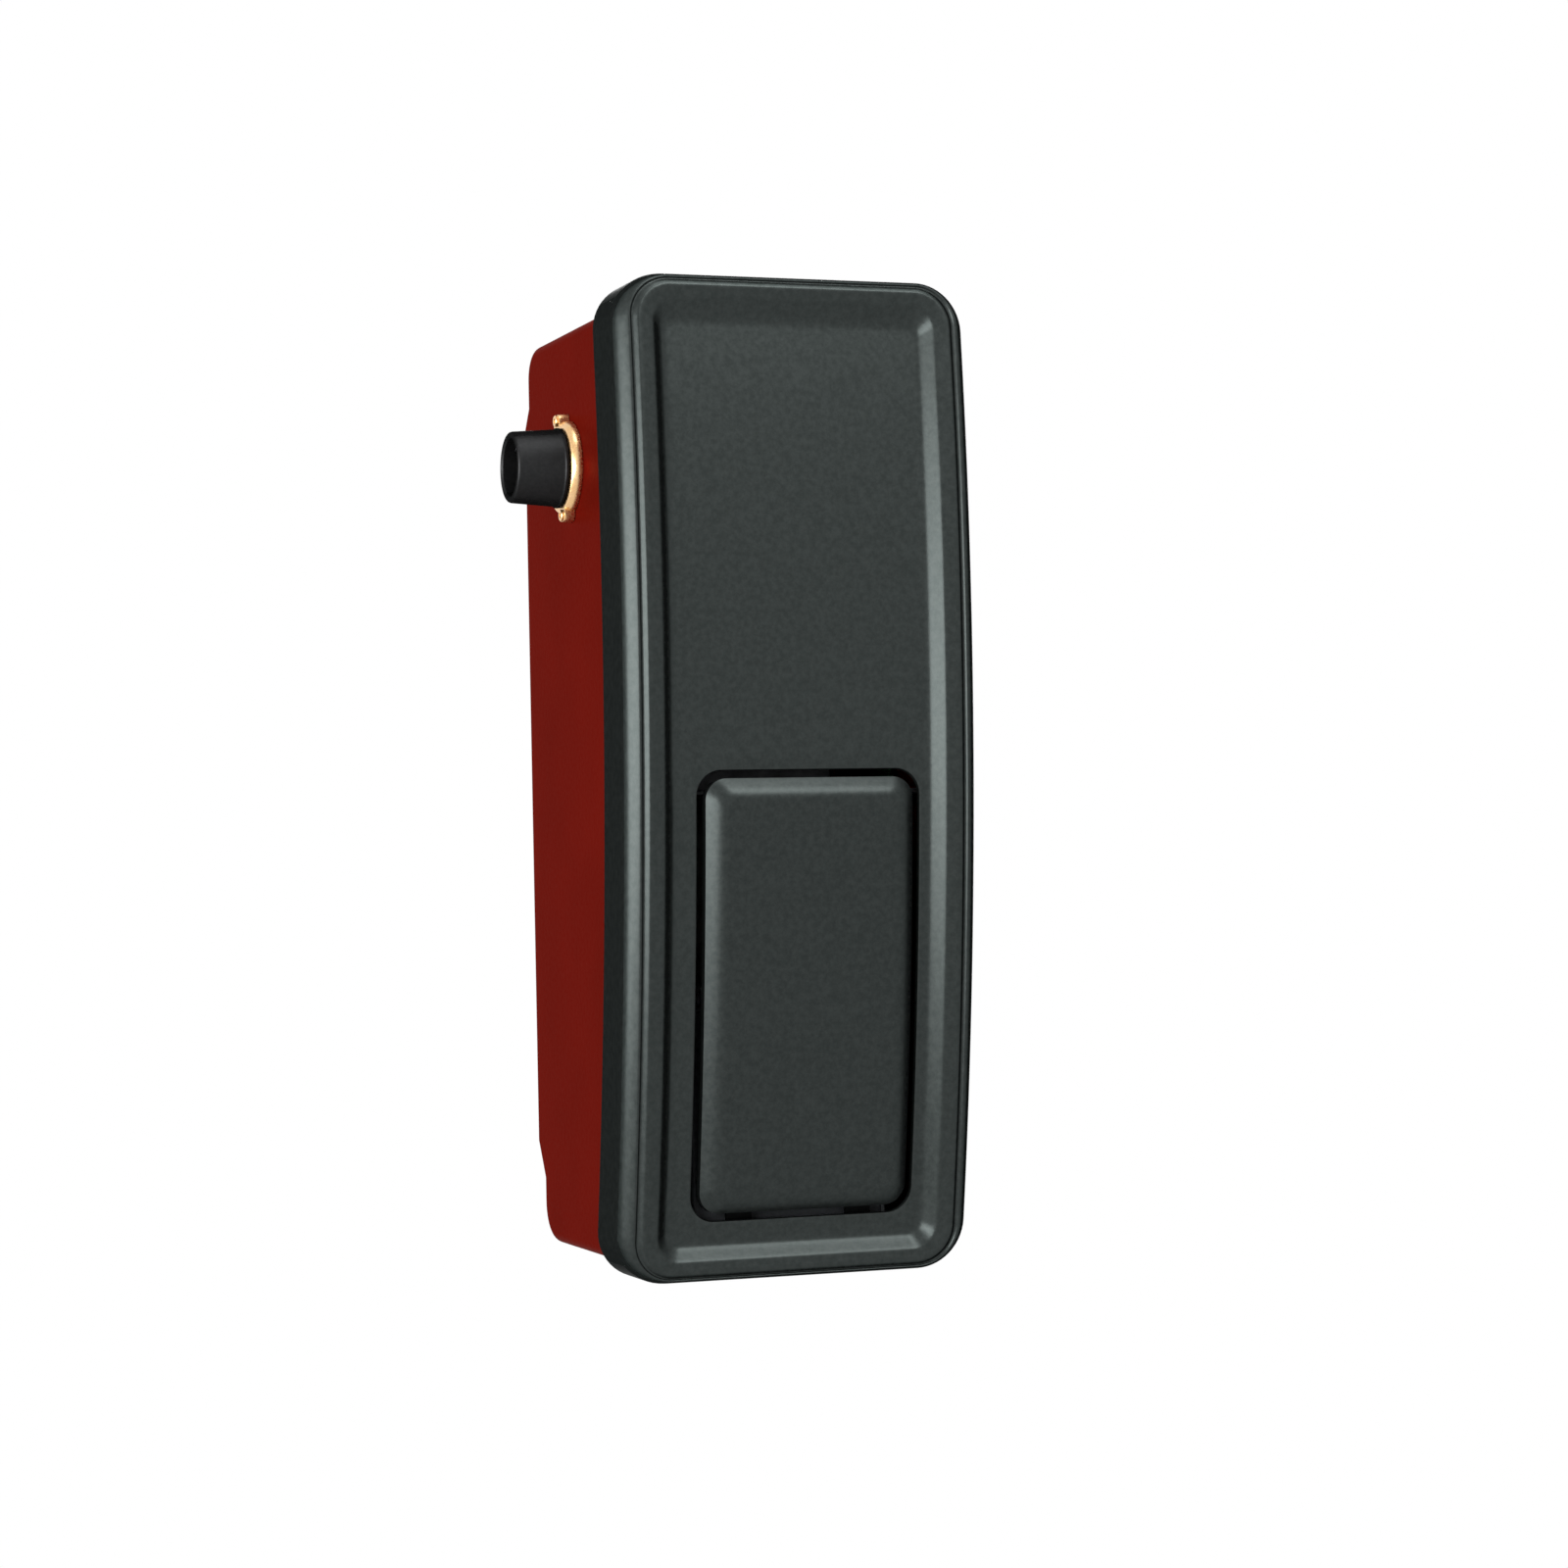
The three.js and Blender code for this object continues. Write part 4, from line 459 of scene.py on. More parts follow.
def texturedBlack(name, color, lighter, roughness=0.33, grain=900.0, depth=0.00002, tint=0.08):
    # black that scatters hardly any light; the tint holds the reflections down at low angles
    material, tree, shader, coords = startMaterial(name, color, roughness, metallic=0.85, specular=0.0)
    shader.inputs["Specular Tint"].default_value = (tint, tint, tint, 1)
    patches = pebbled(tree, shader, coords, color, lighter, grain, depth, strength=0.5, patchShare=0.4)
    unevenGloss(tree, shader, patches, roughness - 0.02, roughness + 0.03)
    return material


def mouldedPlastic(name, color, lighter, roughness=0.42, grain=620.0, depth=0.00012):
    # spark-eroded moulded plastic
    material, tree, shader, coords = startMaterial(name, color, roughness, specular=0.2)
    patches = pebbled(tree, shader, coords, color, lighter, grain, depth, strength=0.55, patchShare=0.42)
    unevenGloss(tree, shader, patches, roughness - 0.05, roughness + 0.07)
    return material


def satinPaint(name, color, deeper, tint=(0.6, 0.44, 0.42)):
    material, tree, shader, coords = startMaterial(name, color, 0.34, metallic=0.3, specular=0.0)
    shader.inputs["Specular Tint"].default_value = (*tint, 1)
    peel = noise(tree, coords, scale=420.0, detail=2.0)
    bump(tree, shader, peel, strength=0.10, depth=0.0002)
    twoTones(tree, shader, spread(tree, noise(tree, coords, scale=14.0)), color, deeper)
    unevenGloss(tree, shader, peel, 0.30, 0.40)
    return material


def workedMetal(name, color, second, roughness, grain=(1, 1, 1), scale=300.0, depth=0.00005):
    # plated, turned or brushed metal: fine lines along one direction and soft patches of tone
    material, tree, shader, coords = startMaterial(name, color, roughness, metallic=1.0)
    lines = noise(tree, mapped(tree, coords, "Scale", grain), scale, detail=2.0)
    bump(tree, shader, lines, strength=0.25, depth=depth)
    twoTones(tree, shader, spread(tree, noise(tree, coords, scale=90.0)), color, second)
    unevenGloss(tree, shader, lines, roughness - 0.06, roughness + 0.08)
    return material


def castMetal(name, color, second):
    material, tree, shader, coords = startMaterial(name, color, 0.55, metallic=0.9)
    bump(tree, shader, cells(tree, coords, scale=900.0), strength=0.5, depth=0.0002)
    patches = noise(tree, coords, scale=60.0, detail=4.0)
    twoTones(tree, shader, spread(tree, patches), color, second)
    unevenGloss(tree, shader, patches, 0.48, 0.66)
    return material


def spangledSheet(name, color, second):
    # galvanised sheet with its flaky crystals
    material, tree, shader, coords = startMaterial(name, color, 0.62, metallic=0.6)
    flakes = tree.nodes.new("ShaderNodeTexVoronoi")
    flakes.inputs["Scale"].default_value = 140.0
    tree.links.new(coords, flakes.inputs["Vector"])
    tone = tree.nodes.new("ShaderNodeSeparateColor")
    tree.links.new(flakes.outputs["Color"], tone.inputs["Color"])
    twoTones(tree, shader, tone.outputs["Red"], color, second)
    unevenGloss(tree, shader, tone.outputs["Green"], 0.54, 0.70, fromLow=0.0, fromHigh=1.0)
    return material


def circuitBoard(name, color, copper):
    # solder resist with the tracks showing through
    material, tree, shader, coords = startMaterial(name, color, 0.35)
    squares = tree.nodes.new("ShaderNodeTexBrick")
    squares.inputs["Scale"].default_value = 180.0
    squares.inputs["Mortar Size"].default_value = 0.06
    squares.inputs["Color1"].default_value = (*color, 1)
    squares.inputs["Color2"].default_value = (*copper, 1)
    squares.inputs["Mortar"].default_value = (color[0] * 0.5, color[1] * 0.6, color[2] * 0.5, 1)
    tree.links.new(mapped(tree, coords, "Rotation", (math.pi / 2, 0, 0)), squares.inputs["Vector"])
    tree.links.new(squares.outputs["Color"], shader.inputs["Base Color"])
    bump(tree, shader, squares.outputs["Fac"], strength=0.2, depth=0.0001)
    return material


def clearLens(name, color, brighter):
    material, tree, shader, coords = startMaterial(name, color, 0.12)
    shader.inputs["Transmission Weight"].default_value = 0.35
    shader.inputs["Coat Weight"].default_value = 0.5
    bump(tree, shader, cells(tree, coords, scale=1500.0), strength=0.2, depth=0.0001)
    twoTones(tree, shader, noise(tree, coords, scale=400.0), color, brighter)
    return material


def woundTape(name, color, second):
    # bands of tape across, with the weave of their backing
    material, tree, shader, coords = startMaterial(name, color, 0.5)
    wave = tree.nodes.new("ShaderNodeTexWave")
    wave.bands_direction = "Z"
    wave.inputs["Scale"].default_value = 90.0
    wave.inputs["Distortion"].default_value = 1.2
    tree.links.new(coords, wave.inputs["Vector"])
    twoTones(tree, shader, wave.outputs["Fac"], color, second)
    bump(tree, shader, wave.outputs["Fac"], strength=0.3, depth=0.0002)
    return material


# for each finish: how it is made, its two tones and what differs from the usual
finishTable = {
    "coverPlastic": (texturedBlack, (0.033, 0.0385, 0.0372), (0.043, 0.0495, 0.0480), {}),
    "doorPlastic": (texturedBlack, (0.030, 0.0350, 0.0340), (0.040, 0.0460, 0.0446), {}),
    # painted shade: a near-black copy of the door's plastic for the hooks, so that they read as shadow in the
    # gap under the door
    "shadedHookPlastic": (texturedBlack, (0.0035, 0.0038, 0.0038), (0.0050, 0.0053, 0.0053), {"roughness": 0.5}),
    "redPaint": (satinPaint, (0.094, 0.0041, 0.0020), (0.080, 0.0035, 0.0017), {}),
    "blackOxide": (texturedBlack, (0.021, 0.0215, 0.022), (0.027, 0.0275, 0.028),
                   {"roughness": 0.42, "grain": 1500.0, "depth": 0.00001}),
    "yellowZinc": (workedMetal, (0.78, 0.47, 0.20), (0.84, 0.57, 0.31),
                   {"roughness": 0.28, "scale": 700.0, "depth": 0.000004}),
    "brightZinc": (workedMetal, (0.62, 0.64, 0.66), (0.50, 0.53, 0.56), {"roughness": 0.30, "scale": 500.0}),
    "castAluminium": (castMetal, (0.46, 0.47, 0.47), (0.34, 0.35, 0.35), {}),
    "bearingBronze": (workedMetal, (0.52, 0.33, 0.14), (0.43, 0.26, 0.10),
                      {"roughness": 0.38, "grain": (8, 1, 1)}),
    "wheelBronze": (workedMetal, (0.56, 0.38, 0.15), (0.46, 0.30, 0.11),
                    {"roughness": 0.34, "grain": (1, 5, 5)}),
    "motorSteel": (workedMetal, (0.26, 0.27, 0.28), (0.18, 0.19, 0.20),
                   {"roughness": 0.36, "grain": (1, 1, 12)}),
    "coreSteel": (workedMetal, (0.13, 0.135, 0.14), (0.08, 0.08, 0.085),
                  {"roughness": 0.55, "grain": (1, 14, 1), "scale": 160.0, "depth": 0.0002}),
    "capPlastic": (mouldedPlastic, (0.018, 0.019, 0.021), (0.028, 0.029, 0.032),
                   {"roughness": 0.5, "grain": 900.0, "depth": 0.0001}),
    "boardGreen": (circuitBoard, (0.012, 0.085, 0.033), (0.018, 0.125, 0.048), {}),
    "glossBlue": (mouldedPlastic, (0.022, 0.075, 0.30), (0.03, 0.09, 0.34),
                  {"roughness": 0.28, "grain": 1200.0, "depth": 0.00004}),
    "coilTape": (woundTape, (0.56, 0.36, 0.05), (0.48, 0.29, 0.03), {}),
    "batteryCase": (mouldedPlastic, (0.040, 0.044, 0.048), (0.052, 0.056, 0.061),
                    {"roughness": 0.5, "grain": 800.0, "depth": 0.0001}),
    "galvanised": (spangledSheet, (0.19, 0.20, 0.205), (0.13, 0.138, 0.142), {}),
    "panelPlastic": (mouldedPlastic, (0.020, 0.023, 0.024), (0.030, 0.034, 0.035),
                     {"roughness": 0.48, "grain": 1000.0, "depth": 0.0001}),
    "buttonBlack": (mouldedPlastic, (0.008, 0.008, 0.009), (0.013, 0.013, 0.014),
                    {"roughness": 0.35, "grain": 1400.0, "depth": 0.00005}),
    "buttonYellow": (mouldedPlastic, (0.72, 0.42, 0.012), (0.78, 0.48, 0.02),
                     {"roughness": 0.4, "grain": 1400.0, "depth": 0.00005}),
    "lampGreen": (clearLens, (0.10, 0.55, 0.24), (0.15, 0.825, 0.36), {}),
    "terminalWhite": (mouldedPlastic, (0.66, 0.66, 0.60), (0.72, 0.72, 0.66),
                      {"roughness": 0.42, "grain": 1100.0, "depth": 0.00006}),
    "gearWhite": (mouldedPlastic, (0.68, 0.67, 0.62), (0.74, 0.73, 0.68),
                  {"roughness": 0.45, "grain": 1100.0, "depth": 0.00006}),
    "glandRubber": (mouldedPlastic, (0.009, 0.009, 0.010), (0.015, 0.015, 0.016),
                    {"roughness": 0.62, "grain": 1300.0, "depth": 0.00008}),
}
finishes = {}
for name, (make, color, second, rest) in finishTable.items():
    finishes[name] = make(name, color, second, **rest)
print("materials ready:", len(finishes))


def finished(piece, finishName, body, *nodes):
    # gives a piece its material and its body, and hides the CAD nodes that it stands for
    piece.data.materials.clear()
    piece.data.materials.append(finishes[finishName])
    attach(piece, body)
    if nodes:
        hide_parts(*nodes)
    return piece


# front cover

coverSizes = {
    "width": 0.1625, "height": 0.44, "top": 0.0767, "corner": 0.022, "depth": 0.038, "wall": 0.0026,
    "crestTop": 0.0852, "crestMiddle": 0.0912, "crestBottom": 0.0641,
    "rimSide": 0.0252, "rimTop": 0.0240, "rimBottom": 0.0210, "recess": 0.0072, "faceCorner": 0.004,
    "doorCentre": 0.0030, "doorWidth": 0.0964, "doorTop": -0.1433, "doorBottom": -0.3333,
    "doorCorner": 0.0095, "cornerShare": 0.5, "doorGap": 0.0034, "lip": 0.0012, "lipShare": 0.3,
    "sideShares": (0.7, 0.4, 0.15), "cornerSteps": 14, "sideSteps": 44, "rowSteps": 3, "faceSteps": 26,
    "bossRadius": 0.003, "bossHole": 0.0017, "bossBack": 0.005, "bossLength": 0.0305, "bossSides": 24,
    "bossSide": 0.055, "bossHighZ": 0.06875, "bossLowZ": -0.35735,
}
coverSizes["bottom"] = coverSizes["top"] - coverSizes["height"]

# share of the side width, share of the end width, share of the recess:
# outer roll, groove, bead, ledge, then the slope down to the face
rollShare = 1.25
rimRows = [(0, 0, rollShare), (0.028, 0.012, 0.78), (0.107, 0.04, 0.36), (0.182, 0.075, 0.16),
           (0.222, 0.095, 0.11), (0.257, 0.12, 0.28), (0.295, 0.15, 0.20), (0.343, 0.20, 0),
           (0.389, 0.255, 0), (0.436, 0.30, 0.03), (0.493, 0.345, 0.085), (0.54, 0.385, 0.12),
           (0.587, 0.43, 0.16), (0.634, 0.47, 0.21), (0.692, 0.55, 0.41), (0.758, 0.65, 0.66),
           (0.826, 0.74, 0.87), (0.887, 0.81, 0.965), (0.95, 0.89, 1), (1, 1, 1)]

# the same for the inside, with the share of the wall that it lies inwards and deeper
innerRows = [(0.766, 0.65, 0.61, -0.6, 0.8), (0.58, 0.43, 0.16, -0.2, 1.0), (0.365, 0.23, 0.05, 0.1, 1.1),
             (0.107, 0.04, 0.36, 0.8, 0.6), (0, 0, rollShare, 1, 0.1)]


def crestAt(z, sizes=coverSizes):
    # the front is bowed and leans back towards the bottom
    t = (z - (sizes["top"] + sizes["bottom"]) / 2) / (sizes["height"] / 2)
    lean = (sizes["crestTop"] - sizes["crestBottom"]) / 2
    bow = (sizes["crestTop"] + sizes["crestBottom"]) / 2 - sizes["crestMiddle"]
    return -(sizes["crestMiddle"] + lean * t + bow * t * t)


def behindCrest(outline, depth):
    return [(x, crestAt(z) + depth, z) for x, z in outline]


def rimRing(side, end, depth, sizes, inset=0.0, deeper=0.0):
    radius = max(sizes["corner"] * (1 - side) + sizes["faceCorner"] * side - inset, sizes["faceCorner"] / 2)
    outline = roundedOutline(0, sizes["width"] / 2 - sizes["rimSide"] * side - inset,
                             sizes["top"] - sizes["rimTop"] * end - inset,
                             sizes["bottom"] + sizes["rimBottom"] * end + inset,
                             radius, sizes["cornerSteps"], sizes["sideSteps"])
    return behindCrest(outline, sizes["recess"] * depth + deeper)


def doorRing(grow, depth, sizes):
    outline = roundedOutline(sizes["doorCentre"], sizes["doorWidth"] / 2 + grow, sizes["doorTop"] + grow,
                             sizes["doorBottom"] - grow, sizes["doorCorner"] + grow * sizes["cornerShare"],
                             sizes["cornerSteps"], sizes["sideSteps"])
    return behindCrest(outline, depth)


def between(first, second, steps, depth):
    # rings on the bowed face between two outlines
    rings = []
    for s in range(1, steps):
        t = s / steps
        outline = [(a[0] + (b[0] - a[0]) * t, a[2] + (b[2] - a[2]) * t) for a, b in zip(first, second)]
        rings.append(behindCrest(outline, depth))
    return rings


def bossPlaces(sizes):
    # (x, z) of the four bosses for the screws that come from behind
    heights = (sizes["bossHighZ"], sizes["bossLowZ"])
    return [(side * sizes["bossSide"], z) for side in (-1, 1) for z in heights]


def makeCover(sizes):
    wall, recess, depth = sizes["wall"], sizes["recess"], sizes["depth"]
    gap, lip, steps = sizes["doorGap"], sizes["lip"], sizes["faceSteps"]
    lipPart = lip * sizes["lipShare"]
    side = depth - recess * rollShare
    rings = [rimRing(0, 0, 0, sizes, deeper=deeper) for deeper in (depth, depth - lip)]
    rings += [rimRing(0, 0, rollShare, sizes, deeper=side * share) for share in sizes["sideShares"]]
    rings += [rimRing(*row, sizes) for row in smoothCurve(rimRows, sizes["rowSteps"])]
    edge = [doorRing(gap + lip, recess, sizes), doorRing(gap + lipPart, recess + lipPart, sizes),
            doorRing(gap, recess + lip, sizes), doorRing(gap, recess + wall, sizes)]
    rings += between(rings[-1], edge[0], steps, recess) + edge
    # the inside, from the door opening back to the rear edge
    innerFace = rimRing(1, 1, 1, sizes, deeper=wall)
    rings += between(edge[-1], innerFace, steps // 2, recess + wall)
    rings.append(innerFace)
    for *shares, inset, deeper in innerRows:
        rings.append(rimRing(*shares, sizes, inset=wall * inset, deeper=wall * deeper))
    rings.append(rimRing(0, 0, 0, sizes, inset=wall, deeper=depth))
    verts, faces = ringBand(rings, closed=True)
    cover = closedPiece("frontCover", verts, faces, 40)
    radius, hole = sizes["bossRadius"], sizes["bossHole"]
    for x, z in bossPlaces(sizes):
        back = crestAt(z) + depth - sizes["bossBack"]
        front = back - sizes["bossLength"]
        profile = [(front, hole), (front, radius), (back, radius), (back, hole)]
        addMesh(cover, turned("boss", profile, sizes["bossSides"], axis="Y", centre=(x, 0, z)))
    return finished(cover, "coverPlastic", "housing", "front_cover")


cover = makeCover(coverSizes)
print("front cover ready:", len(cover.data.polygons), "faces")


# battery door

doorSizes = {
    "proud": 0.006, "bevel": 0.0098, "edgeShare": 0.83, "roundness": 1.8, "depth": 0.004, "wall": 0.0024,
    "bevelSteps": 16, "innerEvery": 4, "faceColumns": 12,
    "hookWidth": 0.012, "hookReach": 0.005, "hookThickness": 0.002, "hookSpread": 0.056, "hookSink": 0.0030,
    "hookFit": 0.0003, "hookFoot": 0.0002, "hookShare": 0.9, "hookEdge": 0.0004,
    "ribThickness": 0.0012, "ribDepth": 0.004, "ribSpacing": 0.022, "ribMargin": 0.012, "ribSink": 0.0004,
}


def gridCap(start, count, columns, ring, depth, verts, faces, flip):
    # fills an outline that runs down one side and up the other with rows across;
    # the first and the last row are the outline's own straight edges
    half = count // 2
    grid = []
    for k in range(half):
        left, right = start + count - 1 - k, start + k
        row = [right]
        a, b = ring[k], ring[count - 1 - k]
        for c in range(1, columns if 0 < k < half - 1 else 1):
            t = c / columns
            x, z = a[0] + (b[0] - a[0]) * t, a[2] + (b[2] - a[2]) * t
            verts.append((x, crestAt(z) + depth, z))
            row.append(len(verts) - 1)
        grid.append(row + [left])
    for upper, lower in zip(grid, grid[1:]):
        if len(upper) == len(lower):
            strip = [(upper[c], upper[c + 1], lower[c + 1], lower[c]) for c in range(columns)]
        else:
            strip = [(*upper, *lower[::-1])]
        faces += [face[::-1] if flip else face for face in strip]


def makeHooks(sizes, place):
    # two hooks at the lower edge, behind the wall of the cover
    bottom, reach = place["doorBottom"], sizes["hookReach"]
    front = crestAt(bottom - reach) + place["recess"] + place["wall"] + sizes["hookFit"]
    back = front + sizes["hookThickness"]
    sunk = crestAt(bottom) + place["recess"] + sizes["hookSink"]
    top = bottom + sizes["wall"] * sizes["hookShare"]
    hooks = []
    for side in (-1, 1):
        x = place["doorCentre"] + side * sizes["hookSpread"] / 2
        low, high = x - sizes["hookWidth"] / 2, x + sizes["hookWidth"] / 2
        hook = slab("doorHooks", (low, front, bottom - reach), (high, back, top))
        foot = slab("foot", (low, sunk, bottom + sizes["hookFoot"]), (high, back, top))
        hooks.append(roundEdges(combine(hook, foot, "UNION"), sizes["hookEdge"]))
    # the hooks take the near-black copy of the door's plastic: painted shade in the gap under the door
    return finished(soften(addMesh(*hooks), 40), "shadedHookPlastic", "door")


def makeDoorRibs(sizes, place):
    # stiffening ribs across the inside
    inside = place["recess"] - sizes["proud"] + sizes["wall"] + sizes["ribDepth"] / 2 - sizes["ribSink"]
    margin = sizes["ribMargin"] * 2
    places = []
    z = place["doorTop"] - margin
    while z > place["doorBottom"] + margin:
        places.append((place["doorCentre"], crestAt(z) + inside, z))
        z -= sizes["ribSpacing"]
    size = (place["doorWidth"] - 2 * sizes["bevel"] - margin, sizes["ribDepth"], sizes["ribThickness"])
    return barsAt("doorRibs", places, size, finishes["doorPlastic"])


def makeDoor(sizes, place):
    recess, proud, bevel, wall = place["recess"], sizes["proud"], sizes["bevel"], sizes["wall"]
    lowest = recess + sizes["depth"]
    outer = [doorRing(0, lowest, place), doorRing(0, recess, place)]
    inner = [doorRing(-wall, lowest, place), doorRing(-wall, recess, place)]
    for step in range(sizes["bevelSteps"] + 1):
        t = step / sizes["bevelSteps"]
        depth = recess - proud * (1 - sizes["edgeShare"] * (1 - t) ** sizes["roundness"])
        outer.append(doorRing(-bevel * t, depth, place))
        if step % sizes["innerEvery"] == 0:
            inner.append(doorRing(-bevel * t - wall, depth + wall, place))
    rings = outer[::-1] + inner
    verts, faces = ringBand(rings)
    count, columns = len(rings[0]), sizes["faceColumns"]
    last = (len(rings) - 1) * count
    gridCap(0, count, columns, rings[0], recess - proud, verts, faces, True)
    gridCap(last, count, columns, rings[-1], recess - proud + wall, verts, faces, False)
    door = closedPiece("batteryDoor", verts, faces, 40)
    soften(addMesh(door, makeDoorRibs(sizes, place)), 40)
    return finished(door, "doorPlastic", "door", "battery_door")


door = makeDoor(doorSizes, coverSizes)
makeHooks(doorSizes, coverSizes)
print("battery door ready:", len(door.data.polygons), "faces")


# rear housing

housingSizes = {
    "half": 0.0783, "wall": 0.0022, "top": 0.0634, "bottom": -0.354, "edge": 0.005,
    "lap": 0.026, "lapFit": 0.00035, "backFit": 0.0003, "back": 0.066, "backTop": 0.0695, "pad": 0.0765,
    "padTop": 0.0275, "padTopSlope": 0.0091, "padBottom": -0.309, "padBottomSlope": 0.0167,
    "cornerTop": 0.015, "cornerBottom": 0.018, "cornerSteps": 14, "frontSteps": 40, "edgeSteps": 8,
    "cavitySteps": 4, "flangeDepth": 0.037, "flangeThickness": 0.003,
    "shaftHole": 0.0191, "mountHole": 0.0034, "mountSide": 0.05, "mountHigh": 0.010, "mountLow": -0.290,
    "leverSlot": ((-0.0216, 0.02296), (0.0044, 0.03296)), "glandHole": (0.045, 0.030, 0.0063),
    "window": ((0.0277, -0.2123), (0.0443, -0.1677)),
    "screwHole": 0.0018, "screwHoleDepth": 0.008, "spotHole": 0.0032, "spotDepth": 0.0015,
    "cutIn": 0.006, "cutOut": 0.004, "overlap": 0.003, "roomMargin": 0.03, "roomCorner": 0.02, "roomSteps": 4,
}


def quarter(centreU, centreV, radius, fromTurn, steps):
    angles = [math.pi / 2 * (fromTurn + i / steps) for i in range(steps + 1)]
    return [(centreU + radius * math.cos(a), centreV + radius * math.sin(a)) for a in angles]


def housingOutline(sizes):
    # seen from the side, in Y and Z: down the front edge, then round the bottom, the back and the top
    steps, bottom, top, back = sizes["cornerSteps"], sizes["bottom"], sizes["top"], sizes["back"]
    front = []
    for i in range(sizes["frontSteps"] + 1):
        z = top + (bottom - top) * i / sizes["frontSteps"]
        front.append((crestAt(z) + sizes["lap"], z))
    lower, upper, backTop = sizes["cornerBottom"], sizes["cornerTop"], sizes["backTop"]
    return (front + quarter(back - lower, bottom + lower, lower, -1, steps)
            + [(back, sizes["padBottom"] - sizes["padBottomSlope"]), (sizes["pad"], sizes["padBottom"]),
               (sizes["pad"], sizes["padTop"]), (backTop, sizes["padTop"] + sizes["padTopSlope"])]
            + quarter(backTop - upper, top - upper, upper, 0, steps))


def insetLoop(loop, distance):
    # moves a closed loop inwards, keeping its edges parallel
    result = []
    for i, point in enumerate(loop):
        normals = []
        for a, b in ((loop[i - 1], point), (point, loop[(i + 1) % len(loop)])):
            du, dv = b[0] - a[0], b[1] - a[1]
            length = math.hypot(du, dv)
            normals.append((-dv / length, du / length))
        (u1, v1), (u2, v2) = normals
        stretch = distance / (1 + u1 * u2 + v1 * v2)
        result.append((point[0] + (u1 + u2) * stretch, point[1] + (v1 + v2) * stretch))
    return result


def sweptAcross(name, outline, half, edge, steps):
    # the side outline across the width, with its edges rounded at both ends
    right = []
    for i, a in enumerate(quarterAngles(steps)):
        loop = insetLoop(outline, edge - edge * math.sin(a)) if i < steps else outline
        right.append([(half - edge + edge * math.cos(a), y, z) for y, z in loop])
    return capped(name, right + [[(-x, y, z) for x, y, z in ring] for ring in reversed(right)])


def bowedSlab(name, outline, front, back):
    # a plate between two depths behind the bowed crest
    verts, faces = ringBand([behindCrest(outline, front), behindCrest(outline, back)])
    count, half = len(outline), len(outline) // 2
    for start in (0, count):
        for k in range(half - 1):
            faces.append((start + k, start + k + 1, start + count - 2 - k, start + count - 1 - k))
    return closedPiece(name, verts, faces)


def housingShell(sizes, place):
    outline = housingOutline(sizes)
    lap, overlap, margin, steps = sizes["lap"], sizes["overlap"], sizes["roomMargin"], sizes["frontSteps"]
    shell = sweptAcross("rearHousing", outline, sizes["half"], sizes["edge"], sizes["edgeSteps"])
    fit = place["wall"] + sizes["lapFit"]
    rim = roundedOutline(0, sizes["half"], place["top"] - fit, place["bottom"] + fit, place["corner"] - fit,
                         sizes["cornerSteps"], steps)
    flange = bowedSlab("flange", rim, sizes["flangeDepth"] - sizes["flangeThickness"], sizes["flangeDepth"])
    combine(shell, flange, "UNION")
    # the front corners follow the cover's corners
    wide = roundedOutline(0, place["width"], place["top"] + margin, place["bottom"] - margin,
                          sizes["roomCorner"], sizes["roomSteps"], steps)
    room = bowedSlab("room", wide, lap - overlap, place["depth"] + sizes["backFit"])
    cut(room, bowedSlab("kept", rim, lap - overlap * 2, place["depth"] + overlap))
    cut(shell, room)
    # the cavity is open at the front
    wall = sizes["wall"]
    inner = [(y - lap, z) if i <= steps else (y, z) for i, (y, z) in enumerate(insetLoop(outline, wall))]
    half, edge = sizes["half"] - wall, sizes["edge"] - wall
    return cut(shell, sweptAcross("cavity", inner, half, edge, sizes["cavitySteps"]))


def makeHousing(sizes, place):
    shell = housingShell(sizes, place)
    half, pad, bottom, cutIn, cutOut = (sizes[word] for word in ("half", "pad", "bottom", "cutIn", "cutOut"))
    for side in (-1, 1):
        drill(shell, sizes["shaftHole"], (side * (half - cutIn), 0, 0), (side * (half + cutOut), 0, 0), 72)
        x = side * sizes["mountSide"]
        for z in (sizes["mountHigh"], sizes["mountLow"]):
            drill(shell, sizes["mountHole"], (x, pad - cutIn, z), (x, pad + cutOut, z))
    (x0, y0), (x1, y1) = sizes["leverSlot"]
    cut(shell, slab("slot", (x0, y0, bottom - cutOut), (x1, y1, bottom + cutIn)))
    x, y, radius = sizes["glandHole"]
    drill(shell, radius, (x, y, bottom - cutOut), (x, y, bottom + cutIn))
    (y0, z0), (y1, z1) = sizes["window"]
    cut(shell, slab("window", (half - cutIn, y0, z0), (half + cutOut, y1, z1)))
    for x, z in bossPlaces(place):
        face = crestAt(z) + sizes["flangeDepth"]
        for hole, depth in (("screwHole", "screwHoleDepth"), ("spotHole", "spotDepth")):
            drill(shell, sizes[hole], (x, face - sizes[depth], z), (x, face + cutOut, z), 24)
    evenNormals(soften(shell, 25))
    return finished(shell, "redPaint", "housing", "rear_housing")


housing = makeHousing(housingSizes, coverSizes)
print("rear housing ready:", len(housing.data.polygons), "faces")


# shaft, collar and retainers

